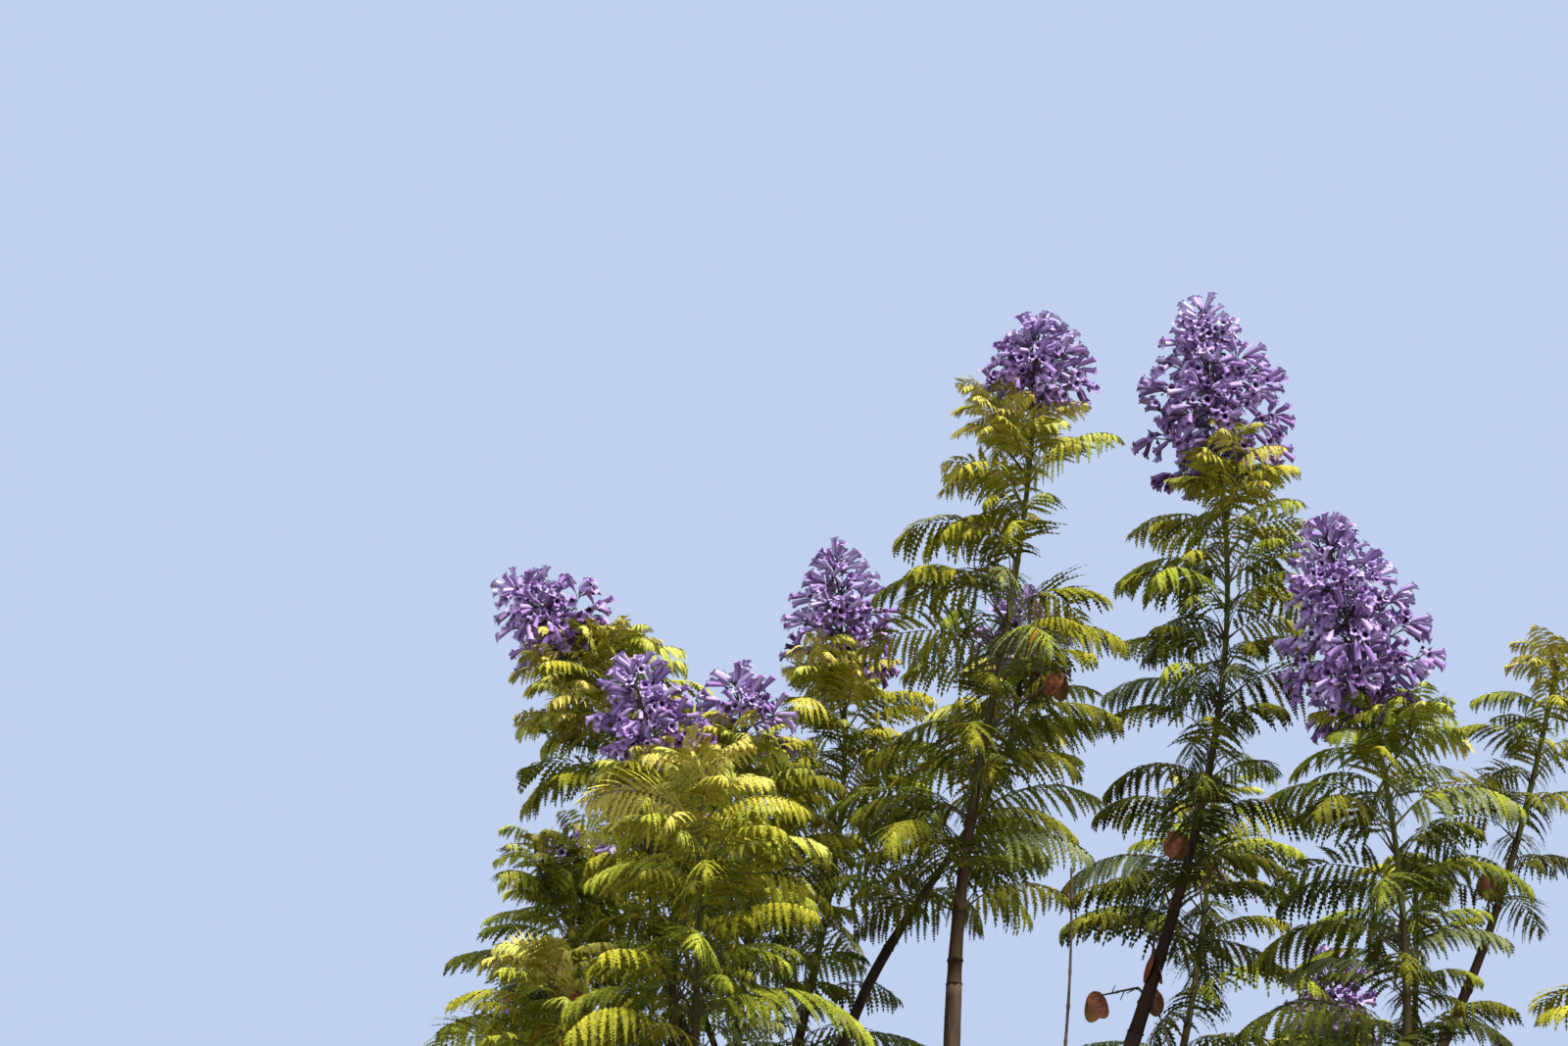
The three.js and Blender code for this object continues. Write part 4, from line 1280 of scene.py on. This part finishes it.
def piece(name, heap, material, nodes, smooth=True):
    """One mesh of the scene, which stands for the solids named."""
    places = np.concatenate(heap.places) * MILLIMETRE
    faces = np.concatenate(heap.faces)
    mesh = bpy.data.meshes.new(name)
    mesh.vertices.add(len(places))
    mesh.vertices.foreach_set("co", places.ravel())
    mesh.loops.add(faces.size)
    mesh.loops.foreach_set("vertex_index", faces.ravel().astype(np.int32))
    mesh.polygons.add(len(faces))
    mesh.polygons.foreach_set("loop_start", np.arange(0, faces.size, 3, dtype=np.int32))
    mesh.polygons.foreach_set("use_smooth", np.full(len(faces), smooth))
    mesh.materials.append(material)
    mesh.update(calc_edges=True)
    item = bpy.data.objects.new(name, mesh)
    bpy.context.collection.objects.link(item)
    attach(item, "root")
    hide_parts(*nodes)


def in_view(point):
    """Where a point stands in the photographed view, in its pixels from the left and the top."""
    pitch = math.radians(CAMERA.pitch)
    offset = point * MILLIMETRE - place(CAMERA.place)
    depth = offset[1] * math.cos(pitch) + offset[2] * math.sin(pitch)
    height = offset[2] * math.cos(pitch) - offset[1] * math.sin(pitch)
    scale = CAMERA.lens / CAMERA.sensor * VIEW.width / depth
    return VIEW.width / 2 + offset[0] * scale, VIEW.height / 2 - height * scale


def in_sky_gap(leaf):
    across, down = in_view(midrib(leaf, SKY_SHARE))
    return any(left < across < right and top < down < bottom for left, right, top, bottom in SKY_GAPS)


def leaves_of(shoot, space, heaps, random):
    """Every leaf of a shoot, but for those in a gap where only sky shows."""
    leaves = grow_leaves(shoot, space) + inner_leaves(shoot, space, random) + tuft_leaves(shoot, random)
    if shoot.panicle:
        for heading, axis in side_axes(shoot):
            leaves += side_leaves(heading, axis, heaps, random)
    return [leaf for leaf in leaves if not in_sky_gap(leaf)]


def dress_crown(shoots):
    space = Space(shoots)
    random = np.random.default_rng(SEEDS.dressing)
    heaps = Heaps()
    rows = []
    for shoot in shoots:
        for leaf in leaves_of(shoot, space, heaps, random):
            if not shoot.shown:
                leaf.coarseness = COARSER.filling
            sweep = random.normal(0, LEAF_TWIST.sweep)
            leaf.sweep = np.clip(sweep, -LEAF_TWIST.most_sweep, LEAF_TWIST.most_sweep)
            keep_to_crown(leaf)
            leaf_stalk(heaps, leaf)
            rows.append(feathers_of(leaf, shoot, random))
        add_stem(heaps, shoot)
        if shoot.panicle:
            grow_panicle(heaps, shoot, random)
    add_leaflets(heaps, Feathers(join_rows(rows)), random)
    add_blossom(heaps)
    for shoot in shoots:
        add_stalks(heaps, shoot, random)
    return heaps


def plain_pieces():
    """Name, colour, roughness and shine of each piece of the foliage that has a plain colour."""
    rows = [(*GREY_LEAFLETS, *GREY_LOOK), (*RUST_LEAFLETS, *LEAFLET_LOOK)]
    for name, colour, greener in LEAF_COLOURS:
        rows.append((f"leaflets_{name}", colour, *LEAFLET_LOOK))
        rows.append((f"leaflets_{name}_greener", greener, *LEAFLET_LOOK))
    rows += [(name, colour, *FLOWER_LOOK) for name, colour in FLOWER_COLOURS]
    rows += [(name, colour, *STEM_LOOK) for name, colour, _ in STEM_COLOURS]
    rows += [(name, colour, *SMALL_LOOK) for name, colour in SMALL_COLOURS]
    return rows


def make_tree():
    shoots = lay_out_crown()
    heaps = dress_crown(shoots)
    foliage = [f"foliage_{shoot.name}" for shoot in shoots]
    for name, *look in plain_pieces():
        piece(name, heaps[name], plain(name, *look), foliage, smooth="leaflets" not in name)
    for name, stuff in (("pods", "pod_skin"), ("pod_linings", "pod_lining"), ("fruit_stalks", "dry_stalk")):
        piece(name, heaps[name], grained(stuff), foliage)
    piece("dead_rod", dead_rod(shoots), grained("dead_wood"), ["dead_shoot"])

    wood = Heap()
    add_trunk(wood, shoots[0].start_radius)
    for shoot in shoots:
        add_bough(wood, shoot)
    piece("bark", wood, grained("bark"), ["trunk", *(f"bough_{shoot.name}" for shoot in shoots)])


def aim_lamp(lamp, spot):
    holder = bpy.data.objects.new(lamp.name, lamp)
    holder.location = spot
    aim = Vector(CROWN_MIDDLE) - Vector(spot)
    holder.rotation_euler = aim.to_track_quat("-Z", "Y").to_euler()
    bpy.context.collection.objects.link(holder)


def make_studio():
    mesh = bpy.data.meshes.new("floor")
    corners = [(x * FLOOR_HALF, y * FLOOR_HALF, 0) for x, y in ((-1, -1), (1, -1), (1, 1), (-1, 1))]
    mesh.from_pydata(corners, [], [(0, 1, 2, 3)])
    floor = bpy.data.objects.new("floor", mesh)
    mesh.materials.append(plain("floor", FLOOR_COLOUR, *FLOOR_LOOK))
    bpy.context.collection.objects.link(floor)

    key = bpy.data.lights.new("key", "SUN")
    key.angle = math.radians(KEY.width)
    key.energy = KEY.strength
    key.color = KEY.colour
    aim_lamp(key, KEY.place)
    for name, spot, size, power, colour in LIGHTS:
        lamp = bpy.data.lights.new(name, "AREA")
        lamp.shape = "DISK"
        lamp.size = size
        lamp.energy = power
        lamp.color = colour
        aim_lamp(lamp, spot)

    bpy.context.scene.view_settings.view_transform = "Standard"
    world = bpy.data.worlds.new("studio")
    world.use_nodes = True
    backdrop = world.node_tree.nodes["Background"]
    backdrop.inputs["Color"].default_value = BACKDROP_COLOUR
    backdrop.inputs["Strength"].default_value = 1
    bpy.context.scene.world = world


def make_camera():
    data = bpy.data.cameras.new("camera")
    data.lens = CAMERA.lens
    data.sensor_width = CAMERA.sensor
    camera = bpy.data.objects.new("camera", data)
    camera.location = CAMERA.place
    camera.rotation_euler = (math.radians(90 + CAMERA.pitch), 0, 0)
    bpy.context.collection.objects.link(camera)
    bpy.context.scene.camera = camera


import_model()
make_camera()
make_studio()
make_tree()
